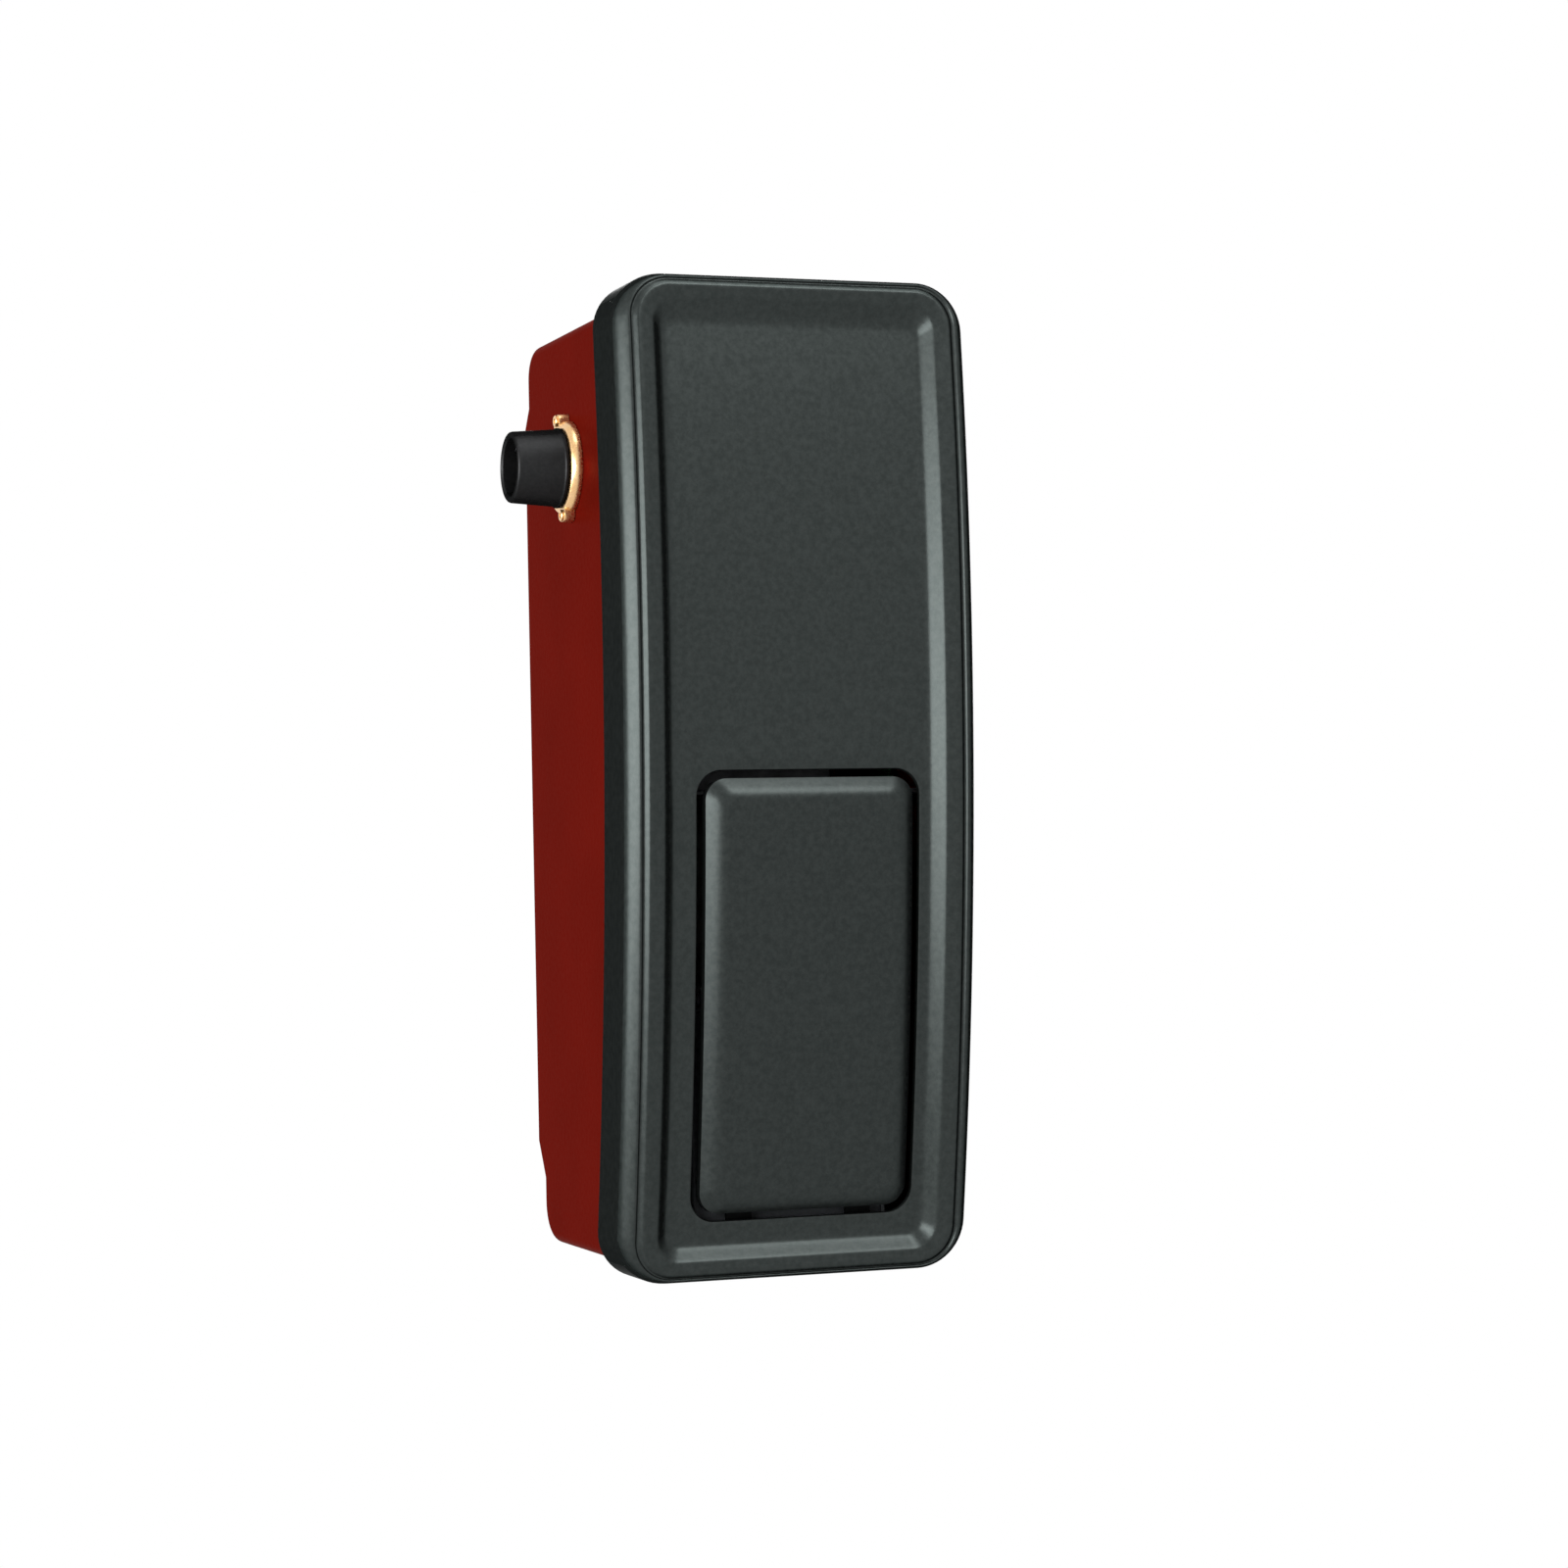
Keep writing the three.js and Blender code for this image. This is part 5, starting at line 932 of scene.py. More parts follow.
shaftSizes = {
    "bore": 0.01304, "radius": 0.016, "left": -0.083, "right": 0.0855, "slotWidth": 0.0065,
    "slotDepth": 0.0045, "slotReach": 0.02, "overrun": 0.003,
    "shoulder": 0.019, "shoulderFrom": 0.0173, "shoulderTo": 0.0213,
    "keyFrom": -0.034, "keyTo": -0.0023, "keyWidth": 0.005, "keyHeight": 0.0025, "keySink": 0.001,
    "edge": 0.0006, "sides": 96,
}
collarSizes = {
    "base": -0.0836, "baseRadius": 0.0181, "baseLength": 0.0014, "baseEdge": 0.0004, "flare": 0.0012,
    "flareShares": (0.4, 0.7), "foot": 0.0174, "radius": 0.0161, "end": -0.1068, "chamfer": 0.0014,
    "chamferShares": ((0.45, 0.18), (0.12, 0.55)), "boreEdge": 0.0008, "sides": 128,
    "lugFit": 0.0002, "lugSink": 0.001, "lugEndFit": 0.0003,
    "screwX": -0.098, "tilts": (45, -45), "screwRadius": 0.003, "screwFit": 0.0001, "holeFrom": 0.004,
    "screwFrom": 0.0133, "screwTo": 0.0161, "socketFrom": 0.0148, "cutTo": 0.02, "socket": 0.0015,
    "screwEdge": 0.0002,
}
retainerSizes = {
    "inside": 0.0786, "outside": 0.0833, "inner": 0.0168, "outer": 0.0213, "earReach": 0.0248,
    "earWidth": 0.009, "earScrew": 0.0219, "tilt": 8, "screwHole": 0.0018, "earCorner": 0.0030,
    "dome": 0.0024, "domeSteps": 10, "domeDepth": 0.85, "earShare": 0.25, "earFrom": 1.01,
    "cornerSteps": 8, "arcSteps": 40, "cutFrom": 0.07, "cutTo": 0.09,
}


def makeShaft(sizes):
    bore, radius, edge, left, right = (sizes[word] for word in ("bore", "radius", "edge", "left", "right"))
    profile = [(left, bore + edge), (left, radius - edge), (left + edge, radius),
               (sizes["shoulderFrom"], radius), (sizes["shoulderFrom"], sizes["shoulder"]),
               (sizes["shoulderTo"], sizes["shoulder"]), (sizes["shoulderTo"], radius),
               (right - edge, radius), (right, radius - edge), (right, bore + edge),
               (right - edge, bore), (left + edge, bore)]
    shaft = turned("outputShaft", profile, sizes["sides"])
    reach, half = sizes["slotReach"], sizes["slotWidth"] / 2
    for end, side in ((left, -1), (right, 1)):
        low, high = sorted((end - side * sizes["slotDepth"], end + side * sizes["overrun"]))
        cut(shaft, slab("slot", (low, -reach, -half), (high, reach, half)))
    half = sizes["keyWidth"] / 2
    for side in (-1, 1):
        low, high = sorted((side * (radius - sizes["keySink"]), side * (radius + sizes["keyHeight"])))
        addMesh(shaft, slab("key", (sizes["keyFrom"], low, -half), (sizes["keyTo"], high, half)))
    return finished(soften(shaft, 30), "blackOxide", "output_shaft", "output_shaft")


def screwLines(sizes):
    # for each set screw its place on the shaft's axis and its direction outwards
    angles = [math.radians(tilt) for tilt in sizes["tilts"]]
    return [(Vector((sizes["screwX"], 0, 0)), Vector((0, math.cos(a), math.sin(a)))) for a in angles]


def makeCollar(sizes, shaft):
    bore, base, end, chamfer = shaft["bore"], sizes["base"], sizes["end"], sizes["chamfer"]
    radius, foot, wide, edge = sizes["radius"], sizes["foot"], sizes["baseRadius"], sizes["baseEdge"]
    step, flare, boreEdge = base - sizes["baseLength"], sizes["flare"], sizes["boreEdge"]
    along, inwards = sizes["flareShares"]
    # the sleeve widens a little towards its base
    profile = [(base, bore), (base, wide - edge), (base - edge, wide), (step, wide),
               (step - flare * along, wide - (wide - foot) * inwards), (step - flare, foot),
               (end + chamfer, radius)]
    profile += [(end + chamfer * u, radius - chamfer * v) for u, v in sizes["chamferShares"]]
    profile += [(end, radius - chamfer), (end, bore + boreEdge), (end + boreEdge, bore)]
    collar = turned("shaftCollar", profile, sizes["sides"], 24)
    for spot, out in screwLines(sizes):
        hole = sizes["screwRadius"] + sizes["screwFit"]
        drill(collar, hole, spot + out * sizes["holeFrom"], spot + out * sizes["cutTo"])
    # two lugs drive the collar by the slots in the shaft's end
    half = shaft["slotWidth"] / 2 - sizes["lugFit"]
    far = shaft["left"] + shaft["slotDepth"] - sizes["lugEndFit"]
    for side in (-1, 1):
        low, high = sorted((side * (bore + sizes["lugFit"]), side * (shaft["radius"] - sizes["lugFit"])))
        addMesh(collar, slab("lug", (base - sizes["lugSink"], low, -half), (far, high, half)))
    return finished(soften(collar, 24), "blackOxide", "output_shaft", "shaft_collar")


def makeSetScrews(sizes):
    screws = []
    places = [sizes[word] for word in ("screwFrom", "screwTo", "socketFrom", "cutTo")]
    for spot, out in screwLines(sizes):
        low, high, floor, above = [spot + out * place for place in places]
        screw = rod("setScrews", sizes["screwRadius"], low, high)
        drill(screw, sizes["socket"], floor, above, 6)
        screws.append(roundEdges(screw, sizes["screwEdge"]))
    whole = soften(addMesh(*screws), 30)
    return finished(whole, "brightZinc", "output_shaft", "set_screw_1", "set_screw_2")


def retainerOutline(sizes):
    # the ring's outer edge with an ear above and below, in (across, up)
    outer, corner, steps = sizes["outer"], sizes["earCorner"], sizes["arcSteps"]
    flat, high = sizes["earWidth"] / 2 - corner, sizes["earReach"] - corner
    start = math.asin(sizes["earWidth"] / 2 / outer)
    arc = [start + (math.pi - 2 * start) * i / steps for i in range(steps + 1)]
    corners = quarterAngles(sizes["cornerSteps"])
    loop = [(flat + corner * math.sin(a), high + corner * math.cos(a)) for a in corners]
    loop += [(outer * math.sin(a), outer * math.cos(a)) for a in arc]
    loop += [(flat + corner * math.cos(a), -high - corner * math.sin(a)) for a in corners]
    return loop + rotated(loop, math.pi)


def earPlaces(sizes):
    # (y, z) of the screw in the upper ear and in the lower one
    lean, reach = math.radians(sizes["tilt"]), sizes["earScrew"]
    return [(up * reach * math.sin(lean), up * reach * math.cos(lean)) for up in (1, -1)]


def makeRetainer(side, node, sizes):
    outline = rotated(retainerOutline(sizes), math.radians(sizes["tilt"]))
    # the outer edge is domed: it draws in towards the front face
    inside, outside = sizes["inside"], sizes["outside"]
    loops = [(inside, outline)]
    for a in quarterAngles(sizes["domeSteps"]):
        loop = []
        for y, z in outline:
            radius = math.hypot(y, z)
            share = sizes["earShare"] if radius > sizes["outer"] * sizes["earFrom"] else 1
            drawn = 1 - sizes["dome"] * share * (1 - math.cos(a)) / radius
            loop.append((y * drawn, z * drawn))
        loops.append((outside - (outside - inside) * sizes["domeDepth"] * (1 - math.sin(a)), loop))
    ring = capped(camelName(node), [[(side * x, y, z) for y, z in loop] for x, loop in loops])
    near, far = side * sizes["cutFrom"], side * sizes["cutTo"]
    drill(ring, sizes["inner"], (near, 0, 0), (far, 0, 0), 96)
    for y, z in earPlaces(sizes):
        drill(ring, sizes["screwHole"], (near, y, z), (far, y, z), 24)
    return finished(soften(ring, 30), "yellowZinc", "housing", node)


makeShaft(shaftSizes)
makeCollar(collarSizes, shaftSizes)
makeSetScrews(collarSizes)
makeRetainer(-1, "retainer_left", retainerSizes)
makeRetainer(1, "retainer_right", retainerSizes)
print("shaft, collar and retainers ready")


# screws, placed by Geometry Nodes

screwSizes = {
    "Head Radius": 0.00265, "Head Height": 0.0016, "Edge": 0.0004, "Head Sides": 40,
    "Shank Radius": 0.00145, "Shank Length": 0.0138, "Shank Sides": 24,
    "Socket Radius": 0.0013, "Socket Depth": 0.0009, "Material": finishes["brightZinc"],
}
retainerScrewSizes = dict(screwSizes, **{
    "Head Height": 0.0010, "Socket Depth": 0.0004, "Material": finishes["yellowZinc"]})
motorScrewSizes = dict(screwSizes, **{"Shank Length": 0.0095})
screwPlaces = {"headSink": 0.0012, "motorX": (-0.008, 0.028), "motorY": 0.043, "motorZ": -0.0457}


def screwTree(name, sizes):
    # a head with a drawn-in edge, a shank and a hexagon socket, looking up
    tree, given = startTree(name, sizes)
    high, edge, wide, sides = given["Head Height"], given["Edge"], given["Head Radius"], given["Head Sides"]
    flat = sumOf(tree, high, edge, -1.0)
    head = nodeStep(tree, "GeometryNodeMeshCylinder", {"Vertices": sides, "Radius": wide, "Depth": flat})
    head = movedUp(tree, head, sumOf(tree, 0.0, flat, 0.5))
    small = sumOf(tree, wide, edge, -1.0)
    rim = nodeStep(tree, "GeometryNodeMeshCone",
                   {"Vertices": sides, "Radius Top": small, "Radius Bottom": wide, "Depth": edge})
    rim = movedUp(tree, rim, flat)
    long = sumOf(tree, given["Shank Length"], high, 0.5)
    shank = nodeStep(tree, "GeometryNodeMeshCylinder",
                     {"Vertices": given["Shank Sides"], "Radius": given["Shank Radius"], "Depth": long})
    shank = movedUp(tree, shank, sumOf(tree, sumOf(tree, 0.0, long, -0.5), high, 0.5))
    whole = tree.nodes.new("GeometryNodeMeshBoolean")
    whole.operation = "UNION"
    for shape in (head, rim, shank):
        tree.links.new(shape, whole.inputs["Mesh 2"])
    deep = sumOf(tree, 0.0, given["Socket Depth"], 2.0)
    socket = nodeStep(tree, "GeometryNodeMeshCylinder",
                      {"Vertices": 6, "Radius": given["Socket Radius"], "Depth": deep})
    socket = movedUp(tree, socket, high)
    drilled = nodeStep(tree, "GeometryNodeMeshBoolean",
                       {"Mesh 1": whole.outputs["Mesh"], "Mesh 2": socket}, operation="DIFFERENCE")
    return finishTree(tree, given, placedOn(tree, given, drilled))


def growScrews(name, places, sizes, finishName, *nodes):
    screws = grown(pointsPiece(name, places), screwTree(name, sizes), sizes)
    return finished(screws, finishName, "housing", *nodes)


def makeScrews(places, cover, housingPart, ring):
    behind = housingPart["flangeDepth"] - places["headSink"]
    growScrews("coverScrews", [((x, crestAt(z) + behind, z), (0, 1, 0)) for x, z in bossPlaces(cover)],
               screwSizes, "brightZinc", "cover_screw_1", "cover_screw_2", "cover_screw_3", "cover_screw_4")
    for side, word in ((-1, "left"), (1, "right")):
        ears = [((side * ring["outside"], y, z), (side, 0, 0)) for y, z in earPlaces(ring)]
        growScrews("retainerScrews" + word.title(), ears, retainerScrewSizes, "yellowZinc",
                   "retainer_screw_%s_1" % word, "retainer_screw_%s_2" % word)
    above = [((x, places["motorY"], places["motorZ"]), (0, 0, 1)) for x in places["motorX"]]
    growScrews("motorScrews", above, motorScrewSizes, "brightZinc", "motor_screw_1", "motor_screw_2")


makeScrews(screwPlaces, coverSizes, housingSizes, retainerSizes)
print("screws ready")


# cord gland, with a ribbed sleeve by Geometry Nodes

glandSizes = {
    "centre": (0.045, 0.030), "radius": 0.009, "neck": 0.006, "bore": 0.0036,
    "under": -0.3543, "drop": 0.0075, "above": -0.3515, "inside": 0.006, "nut": 0.003,
    "collar": 0.0026, "edge": 0.0005, "sides": 48, "fit": 0.0001, "overrun": 0.001,
}
ribSizes = {
    "Count": 4, "Pitch": 0.00115, "Radius": 0.0063, "Wire": 0.00042, "Taper": 0.05,
    "Ring Steps": 48, "Wire Steps": 10, "Material": finishes["glandRubber"],
}


def ribTree(sizes):
    # rings one below the other, each a little smaller than the one before
    tree, given = startTree("sleeveRibs", sizes)
    step = nodeStep(tree, "ShaderNodeCombineXYZ", {"Z": sumOf(tree, 0.0, given["Pitch"], -1.0)})
    line = nodeStep(tree, "GeometryNodeMeshLine", {"Count": given["Count"], "Offset": step}, mode="OFFSET")
    ring = nodeStep(tree, "GeometryNodeCurvePrimitiveCircle",
                    {"Resolution": given["Ring Steps"], "Radius": given["Radius"]})
    wire = nodeStep(tree, "GeometryNodeCurvePrimitiveCircle",
                    {"Resolution": given["Wire Steps"], "Radius": given["Wire"]})
    rib = nodeStep(tree, "GeometryNodeCurveToMesh", {"Curve": ring, "Profile Curve": wire})
    number = nodeStep(tree, "GeometryNodeInputIndex", {})
    less = nodeStep(tree, "ShaderNodeMath", {0: number, 1: given["Taper"]}, operation="MULTIPLY")
    size = sumOf(tree, 1.0, less, -1.0)
    scale = nodeStep(tree, "ShaderNodeCombineXYZ", {"X": size, "Y": size, "Z": 1.0})
    rings = nodeStep(tree, "GeometryNodeInstanceOnPoints", {"Points": line, "Instance": rib, "Scale": scale})
    return finishTree(tree, given, rings)


def makeGland(sizes, ribs):
    (x, y), under, above, radius = sizes["centre"], sizes["under"], sizes["above"], sizes["radius"]
    neck, edge, bore, sides, over = (sizes[word] for word in ("neck", "edge", "bore", "sides", "overrun"))
    low, step, top = under - sizes["drop"], under - sizes["collar"], above + sizes["inside"]
    profile = [(low, bore), (low, neck - edge * 2), (step - edge, neck), (step, radius - edge),
               (step + edge, radius), (under - edge, radius), (under, radius - edge), (under, neck),
               (top - edge, neck), (top, neck - edge), (top, bore)]
    gland = turned("cordGland", profile, sides, axis="Z", centre=(x, y, 0))
    nut = rod("nut", radius, (x, y, above), (x, y, above + sizes["nut"]), 6)
    drill(nut, neck + sizes["fit"], (x, y, above - over), (x, y, above + sizes["nut"] + over * 2), sides)
    roundEdges(nut, edge)
    sleeve = grown(pointsPiece("sleeve", [((0, 0, 0), (0, 0, 1))]), ribTree(ribs), ribs)
    sleeve.data.transform(Matrix.Translation((x, y, step - ribs["Pitch"])))
    return finished(soften(addMesh(gland, nut, sleeve)), "glandRubber", "housing", "cord_gland")


makeGland(glandSizes, ribSizes)
print("cord gland ready")


# control panel, buttons, lamp and terminal block on the right side

panelSizes = {
    "back": 0.0786, "face": 0.0808, "middleY": 0.012, "halfWidth": 0.020, "top": -0.054, "bottom": -0.146,
    "corner": 0.005, "cornerSteps": 8, "sideSteps": 4, "edge": 0.0003, "overrun": 0.002,
    "grooveInset": 0.0021, "grooveWidth": 0.0006, "grooveDepth": 0.0004,
    "buttonHole": 0.0053, "lampHole": 0.0027, "lampZ": -0.060,
    "buttonZ": {"up_button": -0.080, "learn_button": -0.100, "down_button": -0.120},
}
buttonSizes = {
    "radius": 0.005, "stem": 0.0029, "stemEnd": 0.0736, "capBack": 0.0802, "face": 0.0825, "edge": 0.0008,
    "edgeSteps": 6, "mark": 0.00025, "markSink": 0.0003, "markReach": 0.0024, "markShare": 0.7,
}
lensSizes = {
    "radius": 0.002375, "stemEnd": 0.0722, "face": 0.0820, "dome": 0.00125, "domeSteps": 8,
}
terminalSizes = {
    "low": (0.0701, 0.028, -0.212), "high": (0.0835, 0.044, -0.168),
    "lip": 0.0012, "lipFrom": 0.0786, "lipTo": 0.0803, "edge": 0.00036, "overrun": 0.002,
    "count": 4, "hole": 0.0022, "holeDepth": 0.008, "holeY": 0.0335, "seamDepth": 0.0005, "seamHalf": 0.0003,
    "tabY": (0.0375, 0.0425), "tabHalf": 0.0034, "tabFace": 0.0843, "tabSink": 0.0005, "tabEdge": 0.00048,
    "wellDepth": 0.003, "wellGap": 0.0006,
}


def panelPlate(name, sizes, inset, low, high):
    outline = roundedOutline(sizes["middleY"], sizes["halfWidth"] - inset, sizes["top"] - inset,
                             sizes["bottom"] + inset, sizes["corner"] - inset,
                             sizes["cornerSteps"], sizes["sideSteps"])
    return prismX(name, outline, low, high)


def makePanel(sizes):
    back, face, over, y = sizes["back"], sizes["face"], sizes["overrun"], sizes["middleY"]
    panel = panelPlate("controlPanel", sizes, 0, back, face)
    # a fine groove runs round the face
    floor, inset = face - sizes["grooveDepth"], sizes["grooveInset"]
    groove = panelPlate("groove", sizes, inset, floor, face + over)
    cut(groove, panelPlate("kept", sizes, inset + sizes["grooveWidth"], floor, face + over / 2))
    cut(panel, groove)
    for z in (*sizes["buttonZ"].values(), sizes["lampZ"]):
        radius = sizes["lampHole"] if z == sizes["lampZ"] else sizes["buttonHole"]
        drill(panel, radius, (back - over, y, z), (face + over, y, z), 40)
    evenNormals(roundEdges(panel, sizes["edge"]))
    return finished(panel, "panelPlastic", "housing", "control_panel")


def buttonMark(node, sizes, y, z):
    # a raised ring on the learn button, an arrow on the other two
    reach, narrow = sizes["markReach"], sizes["markReach"] * sizes["markShare"]
    low, high = sizes["face"] - sizes["markSink"], sizes["face"] + sizes["mark"]
    if node == "learn_button":
        profile = [(low, narrow), (high, narrow), (high, reach), (low, reach)]
        return turned("mark", profile, 32, centre=(0, y, z))
    way = 1 if node == "up_button" else -1
    arrow = [(y - reach, z - way * narrow), (y + reach, z - way * narrow), (y, z + way * reach)]
    return prismX("mark", arrow, low, high)


def makeButtons(sizes, panel):
    radius, edge, face, stem = sizes["radius"], sizes["edge"], sizes["face"], sizes["stem"]
    curve = [(face - edge * (1 - math.cos(a)), radius - edge * (1 - math.sin(a)))
             for a in reversed(quarterAngles(sizes["edgeSteps"]))]
    profile = [(sizes["capBack"], stem), (sizes["capBack"], radius), *curve,
               (face, poleRadius), (sizes["stemEnd"], poleRadius), (sizes["stemEnd"], stem)]
    y = panel["middleY"]
    for node, z in panel["buttonZ"].items():
        cap = turned(camelName(node), profile, 40, centre=(0, y, z))
        soften(addMesh(cap, buttonMark(node, sizes, y, z)))
        finished(cap, "buttonYellow" if node == "learn_button" else "buttonBlack", node, node)


def makeLens(sizes, panel):
    radius, face, stemEnd = sizes["radius"], sizes["face"], sizes["stemEnd"]
    angles = quarterAngles(sizes["domeSteps"])[:0:-1]
    dome = [(face - sizes["dome"] * (1 - math.cos(a)), radius * math.sin(a)) for a in angles]
    profile = [(stemEnd, radius), *dome, (face, poleRadius), (stemEnd, poleRadius)]
    lens = turned("statusLamp", profile, 32, 40, centre=(0, panel["middleY"], panel["lampZ"]))
    return finished(lens, "lampGreen", "housing", "status_lamp")


def makeTerminals(sizes):
    low, high, lip, over, gap = (sizes[word] for word in ("low", "high", "lip", "overrun", "wellGap"))
    block = slab("terminalBlock", low, high)
    rim = slab("rim", (sizes["lipFrom"], low[1] - lip, low[2] - lip),
               (sizes["lipTo"], high[1] + lip, high[2] + lip))
    combine(block, rim, "UNION")
    front, out, well = high[0], high[0] + over, high[0] - sizes["wellDepth"]
    (y0, y1), half, holeY, seamHalf = sizes["tabY"], sizes["tabHalf"], sizes["holeY"], sizes["seamHalf"]
    pitch = (high[2] - low[2]) / sizes["count"]
    tabs = []
    for i in range(sizes["count"]):
        z = low[2] + pitch * (i + 0.5)
        drill(block, sizes["hole"], (front - sizes["holeDepth"], holeY, z), (out, holeY, z))
        cut(block, slab("well", (well, y0 - gap, z - half - gap), (out, y1 + gap, z + half + gap)))
        tab = slab("tab", (well - sizes["tabSink"], y0, z - half), (sizes["tabFace"], y1, z + half))
        tabs.append(roundEdges(tab, sizes["tabEdge"], 3))
        if i:
            seam = z - pitch / 2
            cut(block, slab("seam", (front - sizes["seamDepth"], low[1] - over / 2, seam - seamHalf),
                            (out, high[1] + over / 2, seam + seamHalf)))
    roundEdges(block, sizes["edge"])
    evenNormals(soften(addMesh(block, *tabs), 40))
    return finished(block, "terminalWhite", "housing", "terminal_block")


makePanel(panelSizes)
makeButtons(buttonSizes, panelSizes)
makeLens(lensSizes, panelSizes)
makeTerminals(terminalSizes)
print("panel side ready")


# release spring, a helix by Geometry Nodes

springSizes = {
    "Turns": 6.0, "Radius": 0.0044, "Wire": 0.00055, "Height": 0.0286, "Turn Steps": 36, "Wire Steps": 10,
    "Material": finishes["brightZinc"],
}
springPlace = (-0.0366, 0.02796, -0.1467)


def springTree(sizes):
    tree, given = startTree("spring", sizes)
    path = nodeStep(tree, "GeometryNodeCurveSpiral",
                    {"Resolution": given["Turn Steps"], "Rotations": given["Turns"],
                     "Height": given["Height"], "Start Radius": given["Radius"],
                     "End Radius": given["Radius"]})
    wire = nodeStep(tree, "GeometryNodeCurvePrimitiveCircle",
                    {"Resolution": given["Wire Steps"], "Radius": given["Wire"]})
    coil = nodeStep(tree, "GeometryNodeCurveToMesh",
                    {"Curve": path, "Profile Curve": wire, "Fill Caps": True})
    return finishTree(tree, given, coil)


def makeSpring(sizes, place):
    spring = grown(pointsPiece("rodSpring", [((0, 0, 0), (0, 0, 1))]), springTree(sizes), sizes)
    spring.data.transform(Matrix.Translation(place))
    finished(spring, "brightZinc", "housing", "rod_spring")
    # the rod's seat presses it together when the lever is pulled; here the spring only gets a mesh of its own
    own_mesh(spring)


makeSpring(springSizes, springPlace)
print("spring ready")


# battery, with its lid line and ribs on the front

batterySizes = {
    "low": (-0.045, -0.0533, -0.3447), "high": (0.045, 0.016, -0.2437), "edge": 0.0022, "edgeSteps": 4,
    "lidZ": -0.262, "groove": 0.0011, "overrun": 0.001,
    "count": 9, "ribSpacing": 0.009, "ribHigh": 0.052, "ribWide": 0.0022, "ribProud": 0.0007,
}


def makeBattery(sizes):
    low, high, groove, lidZ, over = (sizes[word] for word in ("low", "high", "groove", "lidZ", "overrun"))
    case = slab("batteryBody", low, high)
    line = slab("line", (low[0] - over, low[1] - over, lidZ), (high[0] + over, high[1] + over, lidZ + groove))
    cut(line, slab("kept", (low[0] + groove, low[1] + groove, lidZ - over),
                   (high[0] - groove, high[1] - groove, lidZ + groove + over)))
    cut(roundEdges(case, sizes["edge"], sizes["edgeSteps"]), line)
    start = -sizes["ribSpacing"] * (sizes["count"] - 1) / 2
    places = [(start + sizes["ribSpacing"] * i, low[1], (low[2] + lidZ) / 2) for i in range(sizes["count"])]
    size = (sizes["ribWide"], sizes["ribProud"] * 2, sizes["ribHigh"])
    addMesh(case, barsAt("batteryRibs", places, size, finishes["batteryCase"]))
    return finished(evenNormals(soften(case)), "batteryCase", "housing", "battery")


makeBattery(batterySizes)
print("battery ready")


# materials for the CAD nodes, shown as they are or rounded over

finishNodes = {
    "castAluminium": ("bearing_block_left", "bearing_block_right", "gear_bracket"),
    "bearingBronze": ("bearing_bush_left", "bearing_bush_right", "worm_bush_upper", "worm_bush_lower"),
    "wheelBronze": ("worm_wheel",),
    "brightZinc": ("clutch_ring", "shift_fork", "fork_pin", "release_rod", "lever_pin", "release_lever",
                   "worm_shaft", "battery_terminal_left", "battery_terminal_right"),
    "coreSteel": ("rotor_core", "transformer_core"),
    "motorSteel": ("motor_can",),
    "capPlastic": ("motor_end_cap", "sensor_gear", "travel_sensor", "board_carrier"),
    "gearWhite": ("sensor_pinion",),
    "boardGreen": ("logic_board", "button_board"),
    "glossBlue": ("relay", "capacitor"),
    "coilTape": ("transformer_coil",),
    "galvanised": ("battery_tray",),
}
nodeFinishes = {node: finishName for finishName, nodes in finishNodes.items() for node in nodes}

# inner pieces that are their CAD shapes with the edges rounded over: the body and the width
roundedNodes = {
    "release_lever": ("lever", 0.0007),
    "bearing_block_left": ("housing", 0.0015), "bearing_block_right": ("housing", 0.0015),
    "gear_bracket": ("housing", 0.0012), "motor_end_cap": ("housing", 0.0008),
    "board_carrier": ("housing", 0.0006), "relay": ("housing", 0.0005),
    "transformer_core": ("housing", 0.0004), "transformer_coil": ("housing", 0.002),
    "travel_sensor": ("housing", 0.0006), "battery_tray": ("housing", 0.0005),
    "shift_fork": ("fork", 0.0006),
}


def makeRounded(table, looks):
    for node, (body, width) in table.items():
        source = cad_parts[node]
        piece = addObject(camelName(node), source.data.copy())
        piece.data.transform(source.matrix_world)
        roundEdges(faceOutwards(piece, flatAngle=1), width, angle=40)
        finished(evenNormals(piece), looks[node], body, node)


def dressNodes(table, rounded):
    for node, finishName in table.items():
        if node not in rounded:
            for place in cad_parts[node].material_slots:
                place.material = finishes[finishName]


makeRounded(roundedNodes, nodeFinishes)
dressNodes(nodeFinishes, roundedNodes)
print("CAD nodes dressed:", len(nodeFinishes))


# floor, world and lamps

stageSizes = {
    "floorZ": -1.5, "floorHalf": 12.0, "floorColor": (0.82, 0.82, 0.82), "floorRoughness": 0.9,
    "worldStrength": 0.12, "white": (1, 1, 1, 1),
}
lampAim = (0, 0, -0.14)
lampSizes = {
    "key": {"place": (-1.55, -0.42, -0.05), "size": (2.6, 0.8), "power": 54.0},
    "front": {"place": (0.56, -1.54, 1.33), "size": (0.9, 0.7), "power": 17.0},
    "top": {"place": (0.35, -0.35, 1.6), "size": (1.8, 1.2), "power": 22.0},
    "behind": {"place": (1.1, 1.5, 0.4), "size": (1.8, 1.4), "power": 30.0},
}


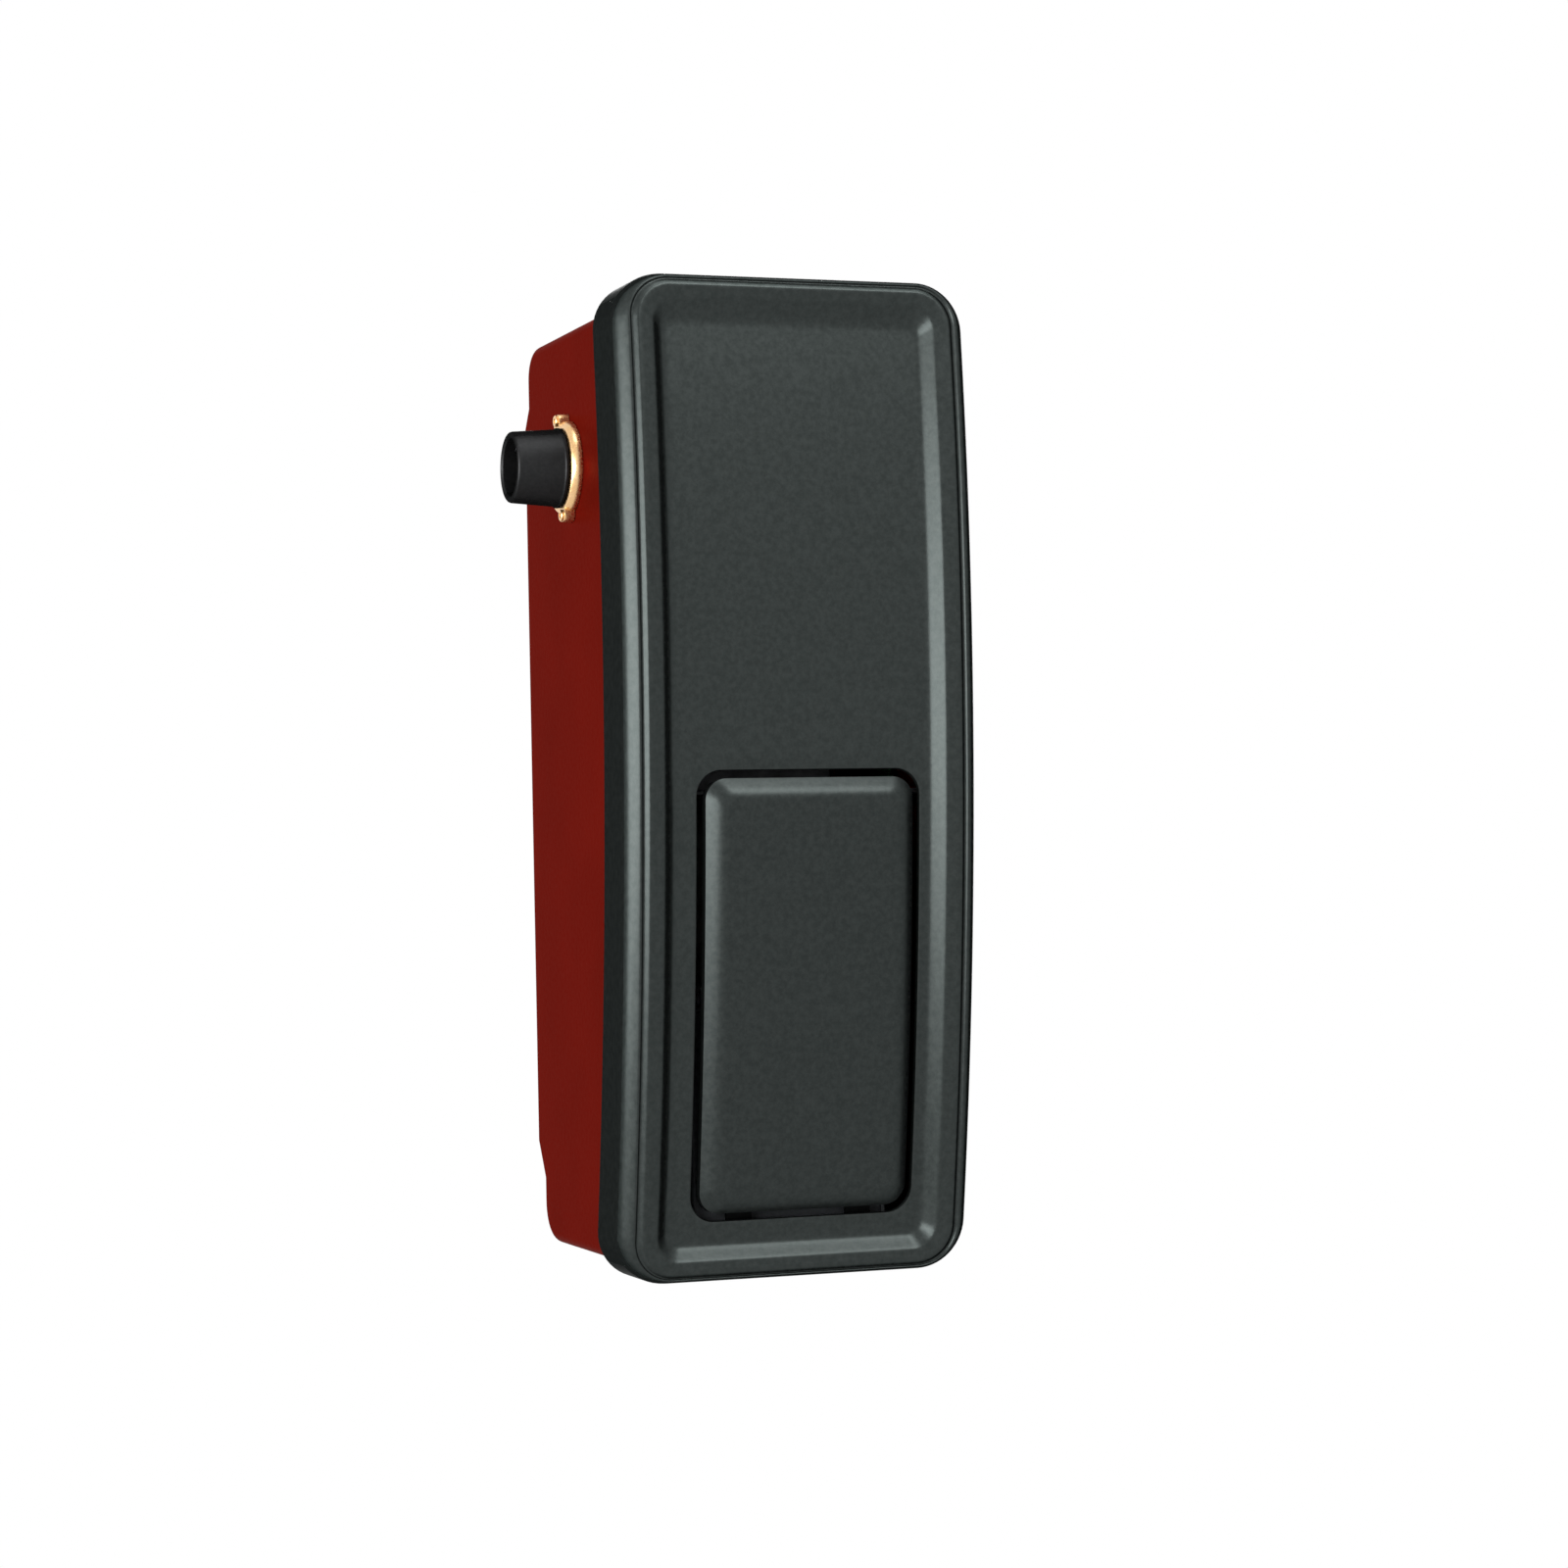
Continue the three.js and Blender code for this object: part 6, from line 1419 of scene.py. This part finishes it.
def mixSeen(tree, plain, seen, output):
    # plain is what lights the object, seen is what the camera, a mirror or glass looks at
    paths = tree.nodes.new("ShaderNodeLightPath")
    looked = paths.outputs["Is Camera Ray"]
    for name in ("Is Glossy Ray", "Is Transmission Ray"):
        node = tree.nodes.new("ShaderNodeMath")
        node.operation = "MAXIMUM"
        tree.links.new(looked, node.inputs[0])
        tree.links.new(paths.outputs[name], node.inputs[1])
        looked = node.outputs["Value"]
    mix = tree.nodes.new("ShaderNodeMixShader")
    for place, source in enumerate((looked, plain, seen)):
        tree.links.new(source, mix.inputs[place])
    tree.links.new(mix.outputs["Shader"], tree.nodes[output].inputs["Surface"])


def makeFloor(sizes):
    half, z = sizes["floorHalf"], sizes["floorZ"]
    corners = [(-half, -half, z), (half, -half, z), (half, half, z), (-half, half, z)]
    floor = meshPiece("floor", corners, [(0, 1, 2, 3)])
    material = bpy.data.materials.new("paleFloor")
    material.use_nodes = True
    tree = material.node_tree
    shader = tree.nodes["Principled BSDF"]
    shader.inputs["Base Color"].default_value = (*sizes["floorColor"], 1)
    shader.inputs["Roughness"].default_value = sizes["floorRoughness"]
    glow = tree.nodes.new("ShaderNodeEmission")
    glow.inputs["Color"].default_value = sizes["white"]
    mixSeen(tree, shader.outputs["BSDF"], glow.outputs["Emission"], "Material Output")
    floor.data.materials.append(material)


def makeWorld(sizes):
    world = bpy.data.worlds.new("studio")
    bpy.context.scene.world = world
    world.use_nodes = True
    tree = world.node_tree
    plain = tree.nodes["Background"]
    plain.inputs["Strength"].default_value = sizes["worldStrength"]
    seen = tree.nodes.new("ShaderNodeBackground")
    seen.inputs["Strength"].default_value = 1.0
    for node in (plain, seen):
        node.inputs["Color"].default_value = sizes["white"]
    mixSeen(tree, plain.outputs["Background"], seen.outputs["Background"], "World Output")


def makeLamps(table, aim):
    for name, sizes in table.items():
        data = bpy.data.lights.new(name, "AREA")
        data.shape = "RECTANGLE"
        data.size, data.size_y = sizes["size"]
        data.energy = sizes["power"]
        lamp = addObject(name, data)
        lamp.location = sizes["place"]
        lamp.rotation_mode = "QUATERNION"
        lamp.rotation_quaternion = (Vector(aim) - lamp.location).to_track_quat("-Z", "Y")


makeFloor(stageSizes)
makeWorld(stageSizes)
makeLamps(lampSizes, lampAim)
print("stage ready")
